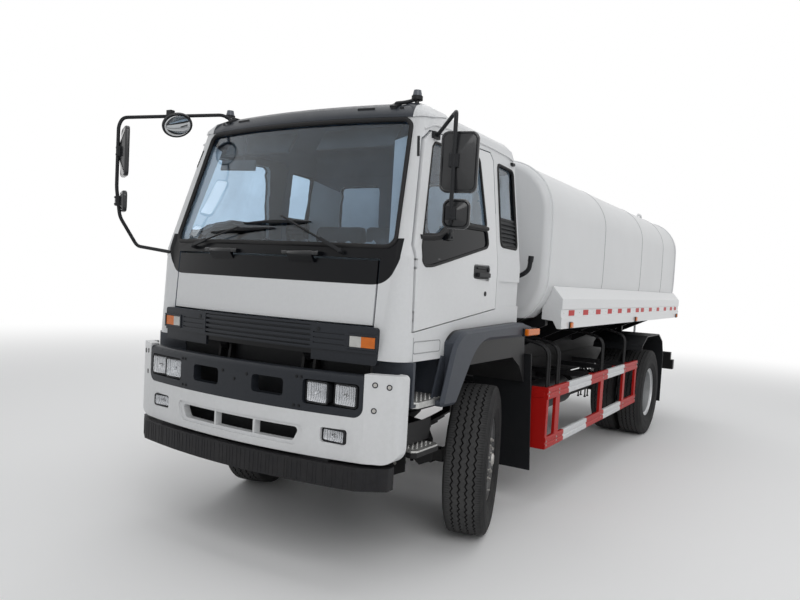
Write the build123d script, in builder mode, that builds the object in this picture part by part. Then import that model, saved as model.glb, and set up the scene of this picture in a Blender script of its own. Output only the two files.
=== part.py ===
"""Tanker truck, 4x2 cab-over: tilt cab, doors, steered front wheels, twin rear wheels, tank with lid.

Millimetres. X forward, Y left, Z up, wheels on Z = 0, origin under the middle of the whole truck.
Side, plan and front views below are measured from the front axle.
"""
import os
from math import cos, radians, sin, sqrt

from build123d import *

os.makedirs("parts", exist_ok=True)

# ---- driving sizes -------------------------------------------------------------------------
overall_length = 7660.0
front_overhang = 1400.0
wheelbase = 4460.0
mirror_reach = 1420.0
axle_x = overall_length / 2 - front_overhang
rear_x = -wheelbase
tail_x = front_overhang - overall_length

# tyres, rims and wheel places
tyre_radius = 525.0
tyre_width = 285.0
rim_radius = 286.0
front_wheel_y = 971.0
rear_wheel_y = 1100.0
twin_spacing = 325.0
king_y = 850.0
king_radius = 20.0
turn_deg = 18.2
steer_lock = 38.0
spindle_radius = 38.0
bearing_gap = 0.3

# frame
rail_y = 425.0
rail_flange = 80.0
rail_top = 1010.0
rail_height = 240.0
rail_web = 12.0
rail_front = 1150.0
rail_rear = tail_x + 110.0

# cab
wall = 45.0
cab_low = 1300.0
belt_z = 1900.0
header_z = 2700.0
roof_top = 2850.0
cab_half = 1050.0
cab_rear = -460.0
cab_nose = 1205.0
nose_sag = 62.0
door_gap = 7.0
door_front_gap = 14.0
lid_gap = 12.0
hinge_setback = 14.0
hinge_depth = 16.0
hinge_pin = 4.0
door_front = 1035.0
door_rear = -50.0
panel_half = 830.0
panel_low = 1495.0
panel_high = 1865.0
pivot_x = 1080.0
pivot_z = 1270.0
pivot_radius = 22.0
pivot_y = 330.0

# bumper
bumper_nose = 1372.0
bumper_sag = 98.0
bumper_half = 1085.0
bumper_low = 735.0
bumper_high = 1235.0
bumper_skin = 60.0
band_half = 893.0
band_low = 985.0
band_high = 1223.0
bar_low = 585.0
bar_high = 715.0
bar_depth = 105.0

# tank and its deck
tank_front = -760.0
tank_rear = tail_x + 250.0
tank_half = 1150.0
tank_low = 1420.0
tank_high = 2785.0
tank_corner = 430.0
skirt_front = -960.0
skirt_rear = tail_x + 200.0
skirt_y = 1230.0
skirt_inner = 1060.0
skirt_low = 1435.0
skirt_high = 1680.0
guard_y = 1200.0


def side_view(y=0.0):
    """Side elevation at this Y: X from the front axle, then Z."""
    return Plane((axle_x, y, 0), x_dir=(1, 0, 0), z_dir=(0, -1, 0))


def plan_view(z):
    """Plan at this height: X from the front axle, then Y."""
    return Plane((axle_x, 0, z))


def front_view(x):
    """Section across the truck at X from the front axle: Y, then Z."""
    return Plane((axle_x + x, 0, 0), x_dir=(0, 1, 0), z_dir=(1, 0, 0))


def outline(points):
    """Closed straight-sided face, drawn in the plane of the sketch that takes it."""
    with BuildSketch(mode=Mode.PRIVATE) as face:
        with BuildLine():
            Polyline(points, close=True)
        make_face()
    return face.sketch


def rounded_outline(points):
    """Closed face whose corners are rounded: each point is x, y, radius."""
    with BuildSketch(mode=Mode.PRIVATE) as face:
        with BuildLine():
            Polyline([(x, y) for x, y, radius in points], close=True)
        make_face()
        for x, y, radius in points:
            if radius:
                corner = face.vertices().sort_by_distance((x, y, 0))[0]
                fillet(corner, radius)
    return face.sketch


def bowed_strip(nose, sag, half, depth):
    """Plan of a bar that bows forward: middle at nose, ends sag behind it."""
    with BuildSketch(mode=Mode.PRIVATE) as strip:
        with BuildLine():
            ThreePointArc((nose - sag, -half), (nose, 0), (nose - sag, half))
            Line((nose - sag, half), (nose - sag - depth, half))
            ThreePointArc((nose - sag - depth, half), (nose - depth, 0), (nose - sag - depth, -half))
            Line((nose - sag - depth, -half), (nose - sag, -half))
        make_face()
    return strip.sketch


def sag_at(y, half, sag):
    """How far a bow with this sag at half width lies behind its middle at this Y."""
    return sag * (y / half) ** 2


def both_sides(piece):
    """A left-hand piece with its mirror image."""
    return piece + mirror(piece, about=Plane.XZ)


# ---- cab envelope: plan sections joined by straight rulings -----------------------------------
# height, nose, shoulder x, shoulder y, side x, half width, rear
cab_sections = [
    (cab_low, cab_nose, cab_nose - nose_sag, 880.0, 1040.0, cab_half, cab_rear),
    (belt_z, cab_nose - 10, 1085.0, 925.0, 1000.0, cab_half, cab_rear),
    (header_z, 945.0, 845.0, 860.0, 760.0, cab_half - 90, cab_rear + 30),
]
# the roof rolls over from the header on a quarter arc, in steps
roof_steps = 4
for step in range(1, roof_steps + 1):
    roll = radians(90 * step / roof_steps)
    back = 1 - cos(roll)
    cab_sections.append((
        header_z + (roof_top - header_z) * sin(roll), 945.0 - 205 * back, 845.0 - 155 * back,
        860.0 - 220 * back,
        760.0 - 140 * back, cab_half - 90 - 210 * back, cab_rear + 30 + 200 * back,
    ))


def cab_envelope(inset):
    """Closed cab form, drawn in by inset on every side."""
    faces = []
    for height, nose, shoulder_x, shoulder_y, side_x, half, rear in cab_sections:
        level = height
        if height == cab_low:
            level = height + inset
        if height > header_z:
            level = height - inset * (height - header_z) / (roof_top - header_z)
        bulge_x = (shoulder_x + side_x) / 2 + 26 - inset
        bulge_y = (shoulder_y + half) / 2 + 26 - inset
        with BuildSketch(plan_view(level), mode=Mode.PRIVATE) as section:
            with BuildLine():
                ThreePointArc(
                    (shoulder_x - inset, -shoulder_y + inset * 0.4),
                    (nose - inset, 0),
                    (shoulder_x - inset, shoulder_y - inset * 0.4),
                )
                ThreePointArc(
                    (shoulder_x - inset, shoulder_y - inset * 0.4),
                    (bulge_x, bulge_y),
                    (side_x - inset * 0.4, half - inset),
                )
                Line((side_x - inset * 0.4, half - inset), (rear + inset, half - inset))
                Line((rear + inset, half - inset), (rear + inset, -half + inset))
                Line((rear + inset, -half + inset), (side_x - inset * 0.4, -half + inset))
                ThreePointArc(
                    (side_x - inset * 0.4, -half + inset),
                    (bulge_x, -bulge_y),
                    (shoulder_x - inset, -shoulder_y + inset * 0.4),
                )
            make_face()
        faces.append(section.sketch)
    return loft(faces, ruled=True)


cab_outer = cab_envelope(0.0)
cab_inner = cab_envelope(wall)
cab_room = cab_envelope(wall + 12.0)
cab_cover = cab_envelope(-8.0)
lid_inner = cab_envelope(24.0)

# side view outlines: X from the front axle, Z
door_outline = [
    (door_front, 1475.0),
    (door_front, 1960.0),
    (856.0, 2600.0),
    (815.0, 2650.0),
    (-5.0, 2675.0),
    (door_rear, 2630.0),
    (door_rear, 1598.0),
]
window_outline = [
    (982.0, 1880.0),
    (982.0, 1962.0),
    (812.0, 2560.0),
    (780.0, 2592.0),
    (190.0, 2612.0),
    (165.0, 2590.0),
    (85.0, 2040.0),
    (110.0, 2012.0),
    (860.0, 1855.0),
    (950.0, 1850.0),
]
divider_outline = [
    (1030.0, 2003.0),
    (770.0, 2020.0),
    (680.0, 2072.0),
    (485.0, 2122.0),
    (50.0, 2130.0),
    (50.0, 2154.0),
    (485.0, 2146.0),
    (690.0, 2096.0),
    (780.0, 2044.0),
    (1030.0, 2027.0),
]
quarter_outline = [
    (-120.0, 2040.0),
    (-120.0, 2620.0),
    (-395.0, 2610.0),
    (-410.0, 2060.0),
    (-395.0, 2035.0),
]
handle_pocket = [(318.0, 1893.0, 22), (318.0, 1800.0, 22), (70.0, 1782.0, 22), (70.0, 1893.0, 22)]
# front view outlines: Y, Z
screen_outline = [
    (-912.0, 1985.0),
    (-878.0, 1945.0),
    (878.0, 1945.0),
    (912.0, 1985.0),
    (842.0, 2690.0),
    (808.0, 2722.0),
    (-808.0, 2722.0),
    (-842.0, 2690.0),
]
# door hinge pin, and the heights of its two arms
hinge_x = door_front - hinge_setback
hinge_y = cab_half - hinge_depth
door_hinge_heights = [1560.0, 1860.0]
# hinges of the service lid, in front of the rail above it: middle y, length, ears at both ends
lid_hinge_places = [-332.0, 332.0]
lid_hinge_length = 286.0
lid_ear = 46.0
lid_pin = 2.5
lid_barrel = 11.0
lid_axis_x = cab_nose + 1.0
lid_axis_z = panel_high + 27.0
# rear windows: middle y, width
rear_windows = [(-430.0, 420.0), (430.0, 420.0)]
rear_window_low = 2060.0
rear_window_height = 470.0

with BuildPart() as cab_shell:
    add(cab_outer)
    add(cab_inner, mode=Mode.SUBTRACT)
    # doorways, with the door gap all round and a wider one at the hinges
    with BuildSketch(side_view()):
        add(outline(door_outline))
        with Locations((door_front_gap - door_gap, 0)):
            add(outline(door_outline))
        offset(amount=door_gap, kind=Kind.INTERSECTION)
    extrude(amount=cab_half + 100, both=True, mode=Mode.SUBTRACT)
    # quarter windows behind the doors
    with BuildSketch(side_view()):
        add(outline(quarter_outline))
    extrude(amount=cab_half + 100, both=True, mode=Mode.SUBTRACT)
    with BuildSketch(front_view(500.0)):
        add(outline(screen_outline))
    extrude(amount=900, mode=Mode.SUBTRACT)
    # shallow recess in each rear quarter, above the flare
    for y in (cab_half, -cab_half + 12):
        with BuildSketch(side_view(y)):
            add(rounded_outline([
                (-95, 1790, 12), (-95, 1640, 30), (-200, 1612, 40), (cab_rear - 20, 1612, 0),
                (cab_rear - 20, 1790, 0),
            ]))
        extrude(amount=12, mode=Mode.SUBTRACT)
    # service opening above the grille
    with BuildSketch(front_view(1000.0)):
        with Locations((0, (panel_low + panel_high) / 2)):
            Rectangle(2 * panel_half + 2 * lid_gap, panel_high - panel_low + 2 * lid_gap)
    extrude(amount=400, mode=Mode.SUBTRACT)
    for middle, width in rear_windows:
        with BuildSketch(front_view(cab_rear - 50)):
            with Locations((middle, rear_window_low + rear_window_height / 2)):
                RectangleRounded(width, rear_window_height, 45)
        extrude(amount=200, mode=Mode.SUBTRACT)
    # firewall behind the service opening, down to the floor
    with BuildSketch(front_view(930.0)):
        with Locations((0, (cab_low + wall + panel_high - 20) / 2)):
            Rectangle(2 * (cab_half - 140), panel_high - 20 - cab_low - wall)
    extrude(amount=-25)
    # hinge ears under the floor
    with BuildSketch(side_view(pivot_y)):
        with BuildLine():
            Polyline([(pivot_x - 60, cab_low), (pivot_x + 60, cab_low), (pivot_x + 40, pivot_z)])
            ThreePointArc(
                (pivot_x + 40, pivot_z), (pivot_x, pivot_z - 40), (pivot_x - 40, pivot_z)
            )
            Line((pivot_x - 40, pivot_z), (pivot_x - 60, cab_low))
        make_face()
        with Locations((pivot_x, pivot_z)):
            Circle(pivot_radius + bearing_gap, mode=Mode.SUBTRACT)
    extrude(amount=-60)
    mirror(about=Plane.XZ)

    # arms of the door hinges, from the pillar round to the hinge pin
    for z in door_hinge_heights:
        with BuildSketch(plan_view(z - 20)):
            add(outline([
                (hinge_x - 9, hinge_y), (hinge_x - 9, hinge_y - 34), (door_front + 40, hinge_y - 34),
                (door_front + 40, hinge_y - 22), (hinge_x + 9, hinge_y - 22), (hinge_x + 9, hinge_y),
            ]))
            with Locations((hinge_x, hinge_y)):
                Circle(9)
                Circle(hinge_pin + bearing_gap, mode=Mode.SUBTRACT)
        arm = extrude(amount=40)
        mirror(arm, about=Plane.XZ)
    # ears of the service lid's hinges, on the rail above the lid
    for y in lid_hinge_places:
        for end in (-1, 1):
            with BuildSketch(side_view(y + end * (lid_hinge_length - lid_ear) / 2 + lid_ear / 2)):
                with Locations((lid_axis_x, lid_axis_z)):
                    Circle(lid_barrel)
                add(outline([
                    (lid_axis_x, lid_axis_z - lid_barrel), (lid_axis_x - 56, lid_axis_z - lid_barrel),
                    (lid_axis_x - 56, lid_axis_z + lid_barrel), (lid_axis_x, lid_axis_z + lid_barrel),
                ]))
                with Locations((lid_axis_x, lid_axis_z)):
                    Circle(lid_pin + bearing_gap, mode=Mode.SUBTRACT)
            extrude(amount=lid_ear)

# service lid over the front of the cab, hinged along its top edge
with BuildPart() as service_panel:
    add(cab_outer)
    add(lid_inner, mode=Mode.SUBTRACT)
    with BuildSketch(front_view(1000.0)):
        with Locations((0, (panel_low + panel_high) / 2)):
            Rectangle(2 * panel_half, panel_high - panel_low)
    extrude(amount=400, mode=Mode.INTERSECT)
    # hinge barrels with their pins, on necks from the top edge
    for y in lid_hinge_places:
        neck = lid_hinge_length / 2 - lid_ear - 2
        with BuildSketch(side_view(y + neck)):
            with Locations((lid_axis_x, lid_axis_z)):
                Circle(lid_barrel)
            add(outline([
                (lid_axis_x - 40, panel_high - 26), (lid_axis_x - 14, panel_high - 26),
                (lid_axis_x + lid_barrel, panel_high + 8),
                (lid_axis_x + lid_barrel, lid_axis_z), (lid_axis_x - lid_barrel, lid_axis_z),
                (lid_axis_x - lid_barrel, panel_high + 4), (lid_axis_x - 22, panel_high),
                (lid_axis_x - 40, panel_high),
            ]))
        extrude(amount=2 * neck)
        with BuildSketch(side_view(y + lid_hinge_length / 2)):
            with Locations((lid_axis_x, lid_axis_z)):
                Circle(lid_pin)
        extrude(amount=lid_hinge_length)

# glazing, a thin skin just inside the panels
glass_skin = cab_envelope(12.0) - cab_envelope(18.0)

with BuildPart() as screen_block:
    with BuildSketch(front_view(500.0)):
        add(outline(screen_outline))
    extrude(amount=900)

with BuildPart() as quarter_block:
    with BuildSketch(side_view(cab_half + 100)):
        add(outline(quarter_outline))
    extrude(amount=400)

with BuildPart() as rear_block:
    with BuildSketch(front_view(cab_rear - 50)):
        for middle, width in rear_windows:
            with Locations((middle, rear_window_low + rear_window_height / 2)):
                RectangleRounded(width, rear_window_height, 45)
    extrude(amount=200)

quarter_glass = glass_skin & quarter_block.part

with BuildPart() as cab_glass:
    add(glass_skin & screen_block.part)
    add(glass_skin & rear_block.part)
    add(quarter_glass)
    add(mirror(quarter_glass, about=Plane.XZ, mode=Mode.PRIVATE))

with BuildPart() as door_left:
    add(cab_outer)
    add(cab_inner, mode=Mode.SUBTRACT)
    with BuildSketch(side_view(cab_half + 100)):
        add(outline(door_outline))
    extrude(amount=500, mode=Mode.INTERSECT)
    with BuildSketch(side_view(cab_half + 100)):
        add(outline(window_outline))
        add(outline(divider_outline), mode=Mode.SUBTRACT)
    extrude(amount=500, mode=Mode.SUBTRACT)
    for z in door_hinge_heights:
        # pocket for the hinge arm, open to the inside and the front
        with BuildSketch(plan_view(z - 30)):
            add(outline([
                (hinge_x - 11, hinge_y + 10), (hinge_x + 60, hinge_y + 10),
                (hinge_x + 60, hinge_y - 60), (hinge_x - 11, hinge_y - 60),
            ]))
        extrude(amount=60, mode=Mode.SUBTRACT)
        with BuildSketch(plan_view(z - 32)):
            with Locations((hinge_x, hinge_y)):
                Circle(hinge_pin)
        extrude(amount=64)
    # pocket of the door handle
    with BuildSketch(side_view(cab_half + 5)):
        add(rounded_outline(handle_pocket))
    extrude(amount=19, mode=Mode.SUBTRACT)

with BuildPart() as door_glass_left:
    add(glass_skin)
    with BuildSketch(side_view(cab_half + 100)):
        add(outline(window_outline))
        add(outline(divider_outline), mode=Mode.SUBTRACT)
    extrude(amount=500, mode=Mode.INTERSECT)

door_right = mirror(door_left.part, about=Plane.XZ)
door_glass_right = mirror(door_glass_left.part, about=Plane.XZ)

# ---- pieces on the cab ------------------------------------------------------------------------
grille_low = 1335.0
lip_low = 1268.0
grille_high = 1485.0
grille_half = 885.0
louvre_half = 445.0
lamp_inner = 716.0
lamp_outer = 878.0

with BuildPart() as grille:
    # solid side segments with horizontal grooves
    with BuildSketch(plan_view(grille_low)):
        add(bowed_strip(cab_nose + 22, nose_sag, grille_half, 30.0))
    extrude(amount=grille_high - grille_low)
    # lower lip, set back, with the air gap in its middle
    with BuildSketch(plan_view(lip_low)):
        add(bowed_strip(cab_nose + 10, nose_sag, grille_half, 18.0))
    extrude(amount=grille_low - lip_low)
    for side in (1, -1):
        with BuildSketch(front_view(cab_nose - 200)):
            with Locations((side * (grille_half - 20), (lip_low + grille_high) / 2)):
                Rectangle(40, grille_high - lip_low)
            with Locations((side * (grille_half - 20), (lip_low + grille_high) / 2)):
                RectangleRounded(40.0, grille_high - lip_low, 19, mode=Mode.SUBTRACT)
            with Locations((side * (grille_half - 30), (lip_low + grille_high) / 2)):
                Rectangle(20, grille_high - lip_low, mode=Mode.SUBTRACT)
        extrude(amount=300, mode=Mode.SUBTRACT)
    with BuildSketch(front_view(cab_nose - 200)):
        with Locations((0, lip_low)):
            Rectangle(2 * louvre_half, 2 * (grille_low - lip_low) - 16)
    extrude(amount=300, mode=Mode.SUBTRACT)
    # grooves along the side segments
    for level in (1366.0, 1397.0, 1428.0):
        for side in (1, -1):
            with BuildSketch(plan_view(level)):
                add(bowed_strip(cab_nose + 23, nose_sag, grille_half, 7.0))
                with Locations((cab_nose, side * 572.0)):
                    Rectangle(200, 216, mode=Mode.INTERSECT)
            extrude(amount=7, mode=Mode.SUBTRACT)
    # centre opening, filled by the louvre blades
    with BuildSketch(front_view(cab_nose - 100)):
        with Locations((0, (grille_low + grille_high) / 2)):
            Rectangle(2 * louvre_half, grille_high - grille_low - 24)
    extrude(amount=200, mode=Mode.SUBTRACT)
    for level in range(4):
        with BuildSketch(plan_view(grille_low + 22 + level * 31)):
            add(bowed_strip(cab_nose + 20, nose_sag * 0.253, louvre_half + 1, 16.0))
        extrude(amount=17)
    with BuildSketch(plan_view(grille_low + 12)):
        add(bowed_strip(cab_nose + 5, nose_sag * 0.253, louvre_half + 1, 3.0))
    extrude(amount=grille_high - grille_low - 24)
    # seats of the turn lamps
    for side in (1, -1):
        with BuildSketch(front_view(cab_nose - 200)):
            with Locations((side * (lamp_inner + lamp_outer) / 2, 1397.0)):
                Rectangle(lamp_outer - lamp_inner, 62)
        extrude(amount=300, mode=Mode.SUBTRACT)
    add(cab_outer, mode=Mode.SUBTRACT)


# roof lamps on stalks: x, y, z of the dome
roof_lamps = [(735.0, 800.0, 2885.0), (735.0, -800.0, 2885.0)]

with BuildPart() as cab_lamps:
    # turn lamps in the grille ends
    with BuildSketch(plan_view(1397.0 - 31)):
        add(bowed_strip(cab_nose + 26, nose_sag, lamp_outer, 25.0))
    extrude(amount=62)
    with BuildSketch(front_view(cab_nose - 200)):
        with Locations(((lamp_inner + lamp_outer) / 2, 1397.0), (-(lamp_inner + lamp_outer) / 2, 1397.0)):
            Rectangle(lamp_outer - lamp_inner, 62)
    extrude(amount=300, mode=Mode.INTERSECT)
    for x, y, z in roof_lamps:
        with BuildSketch(plan_view(z)):
            with Locations((x, y)):
                Circle(32)
        extrude(amount=40, taper=12)
        with BuildSketch(plan_view(z - 90)):
            with Locations((x, y)):
                Circle(14)
        extrude(amount=90)
    add(cab_cover, mode=Mode.SUBTRACT)

with BuildPart() as roof_visor:
    add(cab_cover)
    add(cab_outer, mode=Mode.SUBTRACT)
    with BuildSketch(side_view()):
        add(outline([(560, 2790), (800, 2738), (1000, 2738), (1000, 2900), (560, 2900)]))
    extrude(amount=cab_half, both=True, mode=Mode.INTERSECT)

# flare ring in side view, outer edge then inner edge
flare_ring = [
    (820, 1020, 30), (650, 1463, 200), (-391, 1494, 150), (-601, 1455, 25), (-630, 1390, 25),
    (344, 1394, 330), (629, 1014, 30),
]
liner_band = [
    (640, 1020), (560, 1150), (390, 1230), (-400, 1230), (-540, 1150), (-640, 1020),
    (-655, 1020), (-552, 1162), (-404, 1245), (394, 1245), (570, 1162), (655, 1020),
]
side_plate = [
    (820, 1020), (706, 1317), (591, 1445), (-601, 1445), (-655, 1020), (-640, 1020),
    (-540, 1150), (-400, 1230), (390, 1230), (560, 1150), (640, 1020),
]
flare_out = 1140.0

with BuildPart() as wheel_arch:
    with BuildSketch(side_view(flare_out)):
        add(rounded_outline(flare_ring))
    extrude(amount=flare_out - cab_half)
    chamfer(faces().sort_by(Axis.Y)[-1].edges(), 20)
    with BuildSketch(side_view(cab_half + 12)):
        add(outline(side_plate))
    extrude(amount=12)
    with BuildSketch(side_view(cab_half + 12)):
        add(outline(liner_band))
    extrude(amount=cab_half + 12 - 560)
    # step well ahead of the arch
    with BuildSketch(plan_view(1040)):
        with Locations((855, 937)):
            Rectangle(410, 275)
    extrude(amount=cab_low - 1040)
    with BuildSketch(plan_view(1058)):
        with Locations((850, 965)):
            Rectangle(370, 300)
    extrude(amount=cab_low, mode=Mode.SUBTRACT)
    with BuildSketch(side_view(cab_half + 12)):
        add(outline([(820, 1020), (706, 1317), (591, 1300), (600, 1020)]))
    extrude(amount=12)
wheel_arches = both_sides(wheel_arch.part)

with BuildPart() as dashboard:
    with BuildSketch(side_view(cab_half - 130)):
        add(outline([
            (904, 1500), (904, 1800), (1010, 1868), (1000, 1880), (800, 1895), (690, 1850),
            (660, 1640), (760, 1500),
        ]))
    extrude(amount=2 * (cab_half - 130))
    # hood over the instruments
    with BuildSketch(side_view(760)):
        add(outline([(880, 1880), (640, 1930), (650, 1820), (700, 1800)]))
    extrude(amount=480)
    add(cab_room, mode=Mode.INTERSECT)
    add(cab_shell.part, mode=Mode.SUBTRACT)
    # column and steering wheel
    wheel_plane = Plane((axle_x + 520, 520, 1890), z_dir=(-0.42, 0, 0.9))
    with BuildSketch(wheel_plane.offset(-260)):
        Circle(32)
    extrude(amount=260)
    with BuildSketch(wheel_plane.offset(-20)):
        Circle(60)
        Rectangle(420, 34)
        Rectangle(34, 420)
    extrude(amount=16)
    with Locations(wheel_plane):
        Torus(215, 15)

# seats: middle y, width
seat_table = [(520.0, 520.0), (-60.0, 460.0), (-580.0, 500.0)]
with BuildPart() as seats:
    for middle, width in seat_table:
        with BuildSketch(side_view(middle + width / 2)):
            add(outline([(150, 1480), (170, 1610), (-300, 1580), (-300, 1480)]))
            add(outline([(-270, 1560), (-180, 1600), (-330, 2180), (-400, 2180), (-400, 1480), (-270, 1480)]))
        extrude(amount=width)
        with BuildSketch(plan_view(cab_low + wall)):
            with Locations((-100, middle)):
                Rectangle(300, width - 120)
        extrude(amount=1480 - cab_low - wall)


def tube(points, radius, bend):
    """Round bar along straight runs joined by bends."""
    with BuildPart() as bar:
        with BuildLine() as path:
            FilletPolyline(*[(axle_x + x, y, z) for x, y, z in points], radius=bend)
        with BuildSketch(Plane(path.line @ 0, z_dir=path.line % 0)):
            Circle(radius)
        sweep()
    return bar.part


def mirror_head(x, y, z, width, height, depth, turn):
    """Housing of a rear-view mirror: glass to the rear, turned about the vertical by turn degrees."""
    with BuildPart() as head:
        with BuildSketch(Plane((axle_x + x, y, z), x_dir=(-sin(radians(turn)), cos(radians(turn)), 0),
                               z_dir=(cos(radians(turn)), sin(radians(turn)), 0))):
            RectangleRounded(width, height, 30)
        extrude(amount=depth * 0.5)
        extrude(
            faces().sort_by(Axis((0, 0, 0), (cos(radians(turn)), sin(radians(turn)), 0)))[-1],
            amount=depth * 0.5, taper=30,
        )
    return head.part


head_y = mirror_reach - 110.0
head_x = 1090.0
with BuildPart() as mirror_left:
    add(tube([
        (770, 900, 2618), (960, head_y - 100, 2700), (head_x + 30, head_y - 10, 2630),
        (head_x + 30, head_y - 10, 2120),
        (head_x - 40, head_y - 60, 2060), (650, 1030, 2096),
    ], 11, 40))
    add(mirror_head(head_x, head_y, 2405, 205, 325, 60, 17))
    add(mirror_head(head_x, head_y, 2130, 160, 160, 50, 17))
    add(cab_outer, mode=Mode.SUBTRACT)

with BuildPart() as mirror_right:
    add(tube([
        (735, -720, 2820), (800, -800, 2880), (1240, -head_y - 20, 2800), (1240, -head_y - 20, 2300),
        (1120, -head_y + 20, 1900), (1085, -960, 1866),
    ], 13, 45))
    add(mirror_head(1210, -head_y, 2560, 205, 350, 60, -28))
    add(mirror_head(1210, -head_y, 2210, 160, 150, 50, -28))
    with BuildSketch(Plane((axle_x + 1010, 260 - head_y, 2800), z_dir=(0.2, 0.58, -0.65))):
        Ellipse(100, 85)
    extrude(amount=40)
    add(cab_cover, mode=Mode.SUBTRACT)

# ---- bumper ------------------------------------------------------------------------------------
def bumper_plan(inset):
    """Plan of the bumper: bowed front, slanted ends with rounded corners, short returns along the sides."""
    end_x = bumper_nose - sag_at(bumper_end, band_half, bumper_sag)
    with BuildSketch(mode=Mode.PRIVATE) as plan:
        with BuildLine():
            ThreePointArc(
                (
                    end_x - inset, -bumper_end + inset * 0.3,
                ), (bumper_nose - inset, 0), (end_x - inset, bumper_end - inset * 0.3)
            )
            Line((end_x - inset, bumper_end - inset * 0.3), (1205 - inset * 0.85, 1040 - inset * 0.5))
            ThreePointArc(
                (1205 - inset * 0.85, 1040 - inset * 0.5),
                (1183 - inset * 0.7, bumper_half - 14 - inset * 0.7),
                (1145 - inset * 0.4, bumper_half - inset),
            )
            Line((1145 - inset * 0.4, bumper_half - inset), (1000, bumper_half - inset))
            Line((1000, bumper_half - inset), (1000, -bumper_half + inset))
            Line((1000, -bumper_half + inset), (1145 - inset * 0.4, -bumper_half + inset))
            ThreePointArc(
                (1145 - inset * 0.4, -bumper_half + inset),
                (1183 - inset * 0.7, -bumper_half + 14 + inset * 0.7),
                (1205 - inset * 0.85, -1040 + inset * 0.5),
            )
            Line((1205 - inset * 0.85, -1040 + inset * 0.5), (end_x - inset, -bumper_end + inset * 0.3))
        make_face()
    return plan.sketch


bumper_end = 905.0
lamp_corner = 24.0
fog_corner = 16.0
bumper_ring = bumper_plan(0.0) - bumper_plan(bumper_skin)
bumper_relief = bumper_plan(-5.0) - bumper_plan(12.0)
# openings in the lower part: middle y, width, middle z, height
bumper_slots = [(0.0, 312.0, 843.0, 84.0)]
fog_places = [(722.0, 165.0, 868.0, 84.0), (-722.0, 165.0, 868.0, 84.0)]
# openings in the dark band: middle y, width, middle z, height
tow_holes = [(258.0, 236.0, 1105.0, 104.0), (-258.0, 236.0, 1105.0, 104.0)]
lamp_places = [(688.0, 356.0, 1101.0, 142.0), (-688.0, 356.0, 1101.0, 142.0)]
# dark band in front view, open at the top: y, z, corner radius
band_outline = [
    (-band_half, bumper_high + 10, 0), (-band_half, band_low, 60), (band_half, band_low, 60),
    (band_half, bumper_high + 10, 0),
]
# end slots of the lower grille slope in at their outer ends
end_slot = [(170.0, 885.0, 0), (495.0, 885.0, 22), (452.0, 801.0, 30), (170.0, 801.0, 0)]
slot_recess = [(-540.0, 905.0, 30), (-480.0, 781.0, 40), (480.0, 781.0, 40), (540.0, 905.0, 30)]

with BuildPart() as bumper:
    with BuildSketch(plan_view(bumper_low)):
        add(bumper_ring)
        with Locations((1000, 0)):
            Rectangle(210, 3000, mode=Mode.SUBTRACT)
    extrude(amount=bumper_high - bumper_low)
    # elevation with rounded outer corners
    with BuildSketch(front_view(1000)):
        add(rounded_outline([
            (-bumper_half, bumper_high, 28), (-bumper_half, bumper_low, 95), (bumper_half, bumper_low, 95),
            (bumper_half, bumper_high, 28),
        ]))
    extrude(amount=500, mode=Mode.INTERSECT)
    with BuildSketch(front_view(1000)):
        add(rounded_outline(band_outline))
        for y, width, z, height in bumper_slots:
            with Locations((y, z)):
                Rectangle(width, height)
        for y, width, z, height in fog_places:
            with Locations((y, z)):
                RectangleRounded(width, height, fog_corner)
        add(rounded_outline(end_slot))
        add(rounded_outline([(-y, z, radius) for y, z, radius in reversed(end_slot)]))
    extrude(amount=500, mode=Mode.SUBTRACT)
    # shallow relief round the lower grille
    with BuildSketch(plan_view(bumper_low)):
        add(bumper_relief)
    relief = extrude(amount=bumper_high - bumper_low, mode=Mode.PRIVATE)
    with BuildSketch(front_view(1000)):
        add(rounded_outline(slot_recess))
    add(extrude(amount=500, mode=Mode.PRIVATE) & relief, mode=Mode.SUBTRACT)

with BuildPart() as bumper_band:
    # blank a little wider and deeper than its outline
    with BuildSketch(plan_view(band_low - 20)):
        blank_half = band_half + 20
        add(bowed_strip(bumper_nose - 2, sag_at(blank_half, band_half, bumper_sag), blank_half, bumper_skin))
    extrude(amount=band_high - band_low + 20)
    # rolled top edge
    fillet(faces().sort_by(Axis.Z)[-1].edges().filter_by(GeomType.CIRCLE).sort_by(Axis.X)[-1], 26)
    with BuildSketch(front_view(1000)):
        add(rounded_outline(band_outline))
    extrude(amount=500, mode=Mode.INTERSECT)
    with BuildSketch(front_view(1000)):
        for y, width, z, height in tow_holes + lamp_places:
            with Locations((y, z)):
                RectangleRounded(width, height, lamp_corner)
    extrude(amount=500, mode=Mode.SUBTRACT)

# lamps: middle y, width, middle z, height, front x, back x
lamp_back = bumper_nose - 115.0
fog_back = bumper_nose - 110.0
front_lamp_table = []
for side in (1, -1):
    front_lamp_table.append((side * 602.0, 150.0, 1101.0, 120.0, bumper_nose - 62.0, lamp_back))
    front_lamp_table.append((side * 778.0, 150.0, 1101.0, 120.0, bumper_nose - 96.0, lamp_back))
    front_lamp_table.append((side * 722.0, 150.0, 868.0, 70.0, bumper_nose - 78.0, fog_back))

with BuildPart() as front_lamps:
    for y, width, z, height, front, back in front_lamp_table:
        with BuildSketch(front_view(back)):
            with Locations((y, z)):
                RectangleRounded(width, height, 18)
        extrude(amount=front - back)
    # trays that fill the back of each opening
    for back, places, corner in ((lamp_back, lamp_places, lamp_corner), (fog_back, fog_places, fog_corner)):
        for y, width, z, height in places:
            with BuildSketch(front_view(back)):
                with Locations((y, z)):
                    RectangleRounded(width, height, corner)
            extrude(amount=-30)

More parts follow.
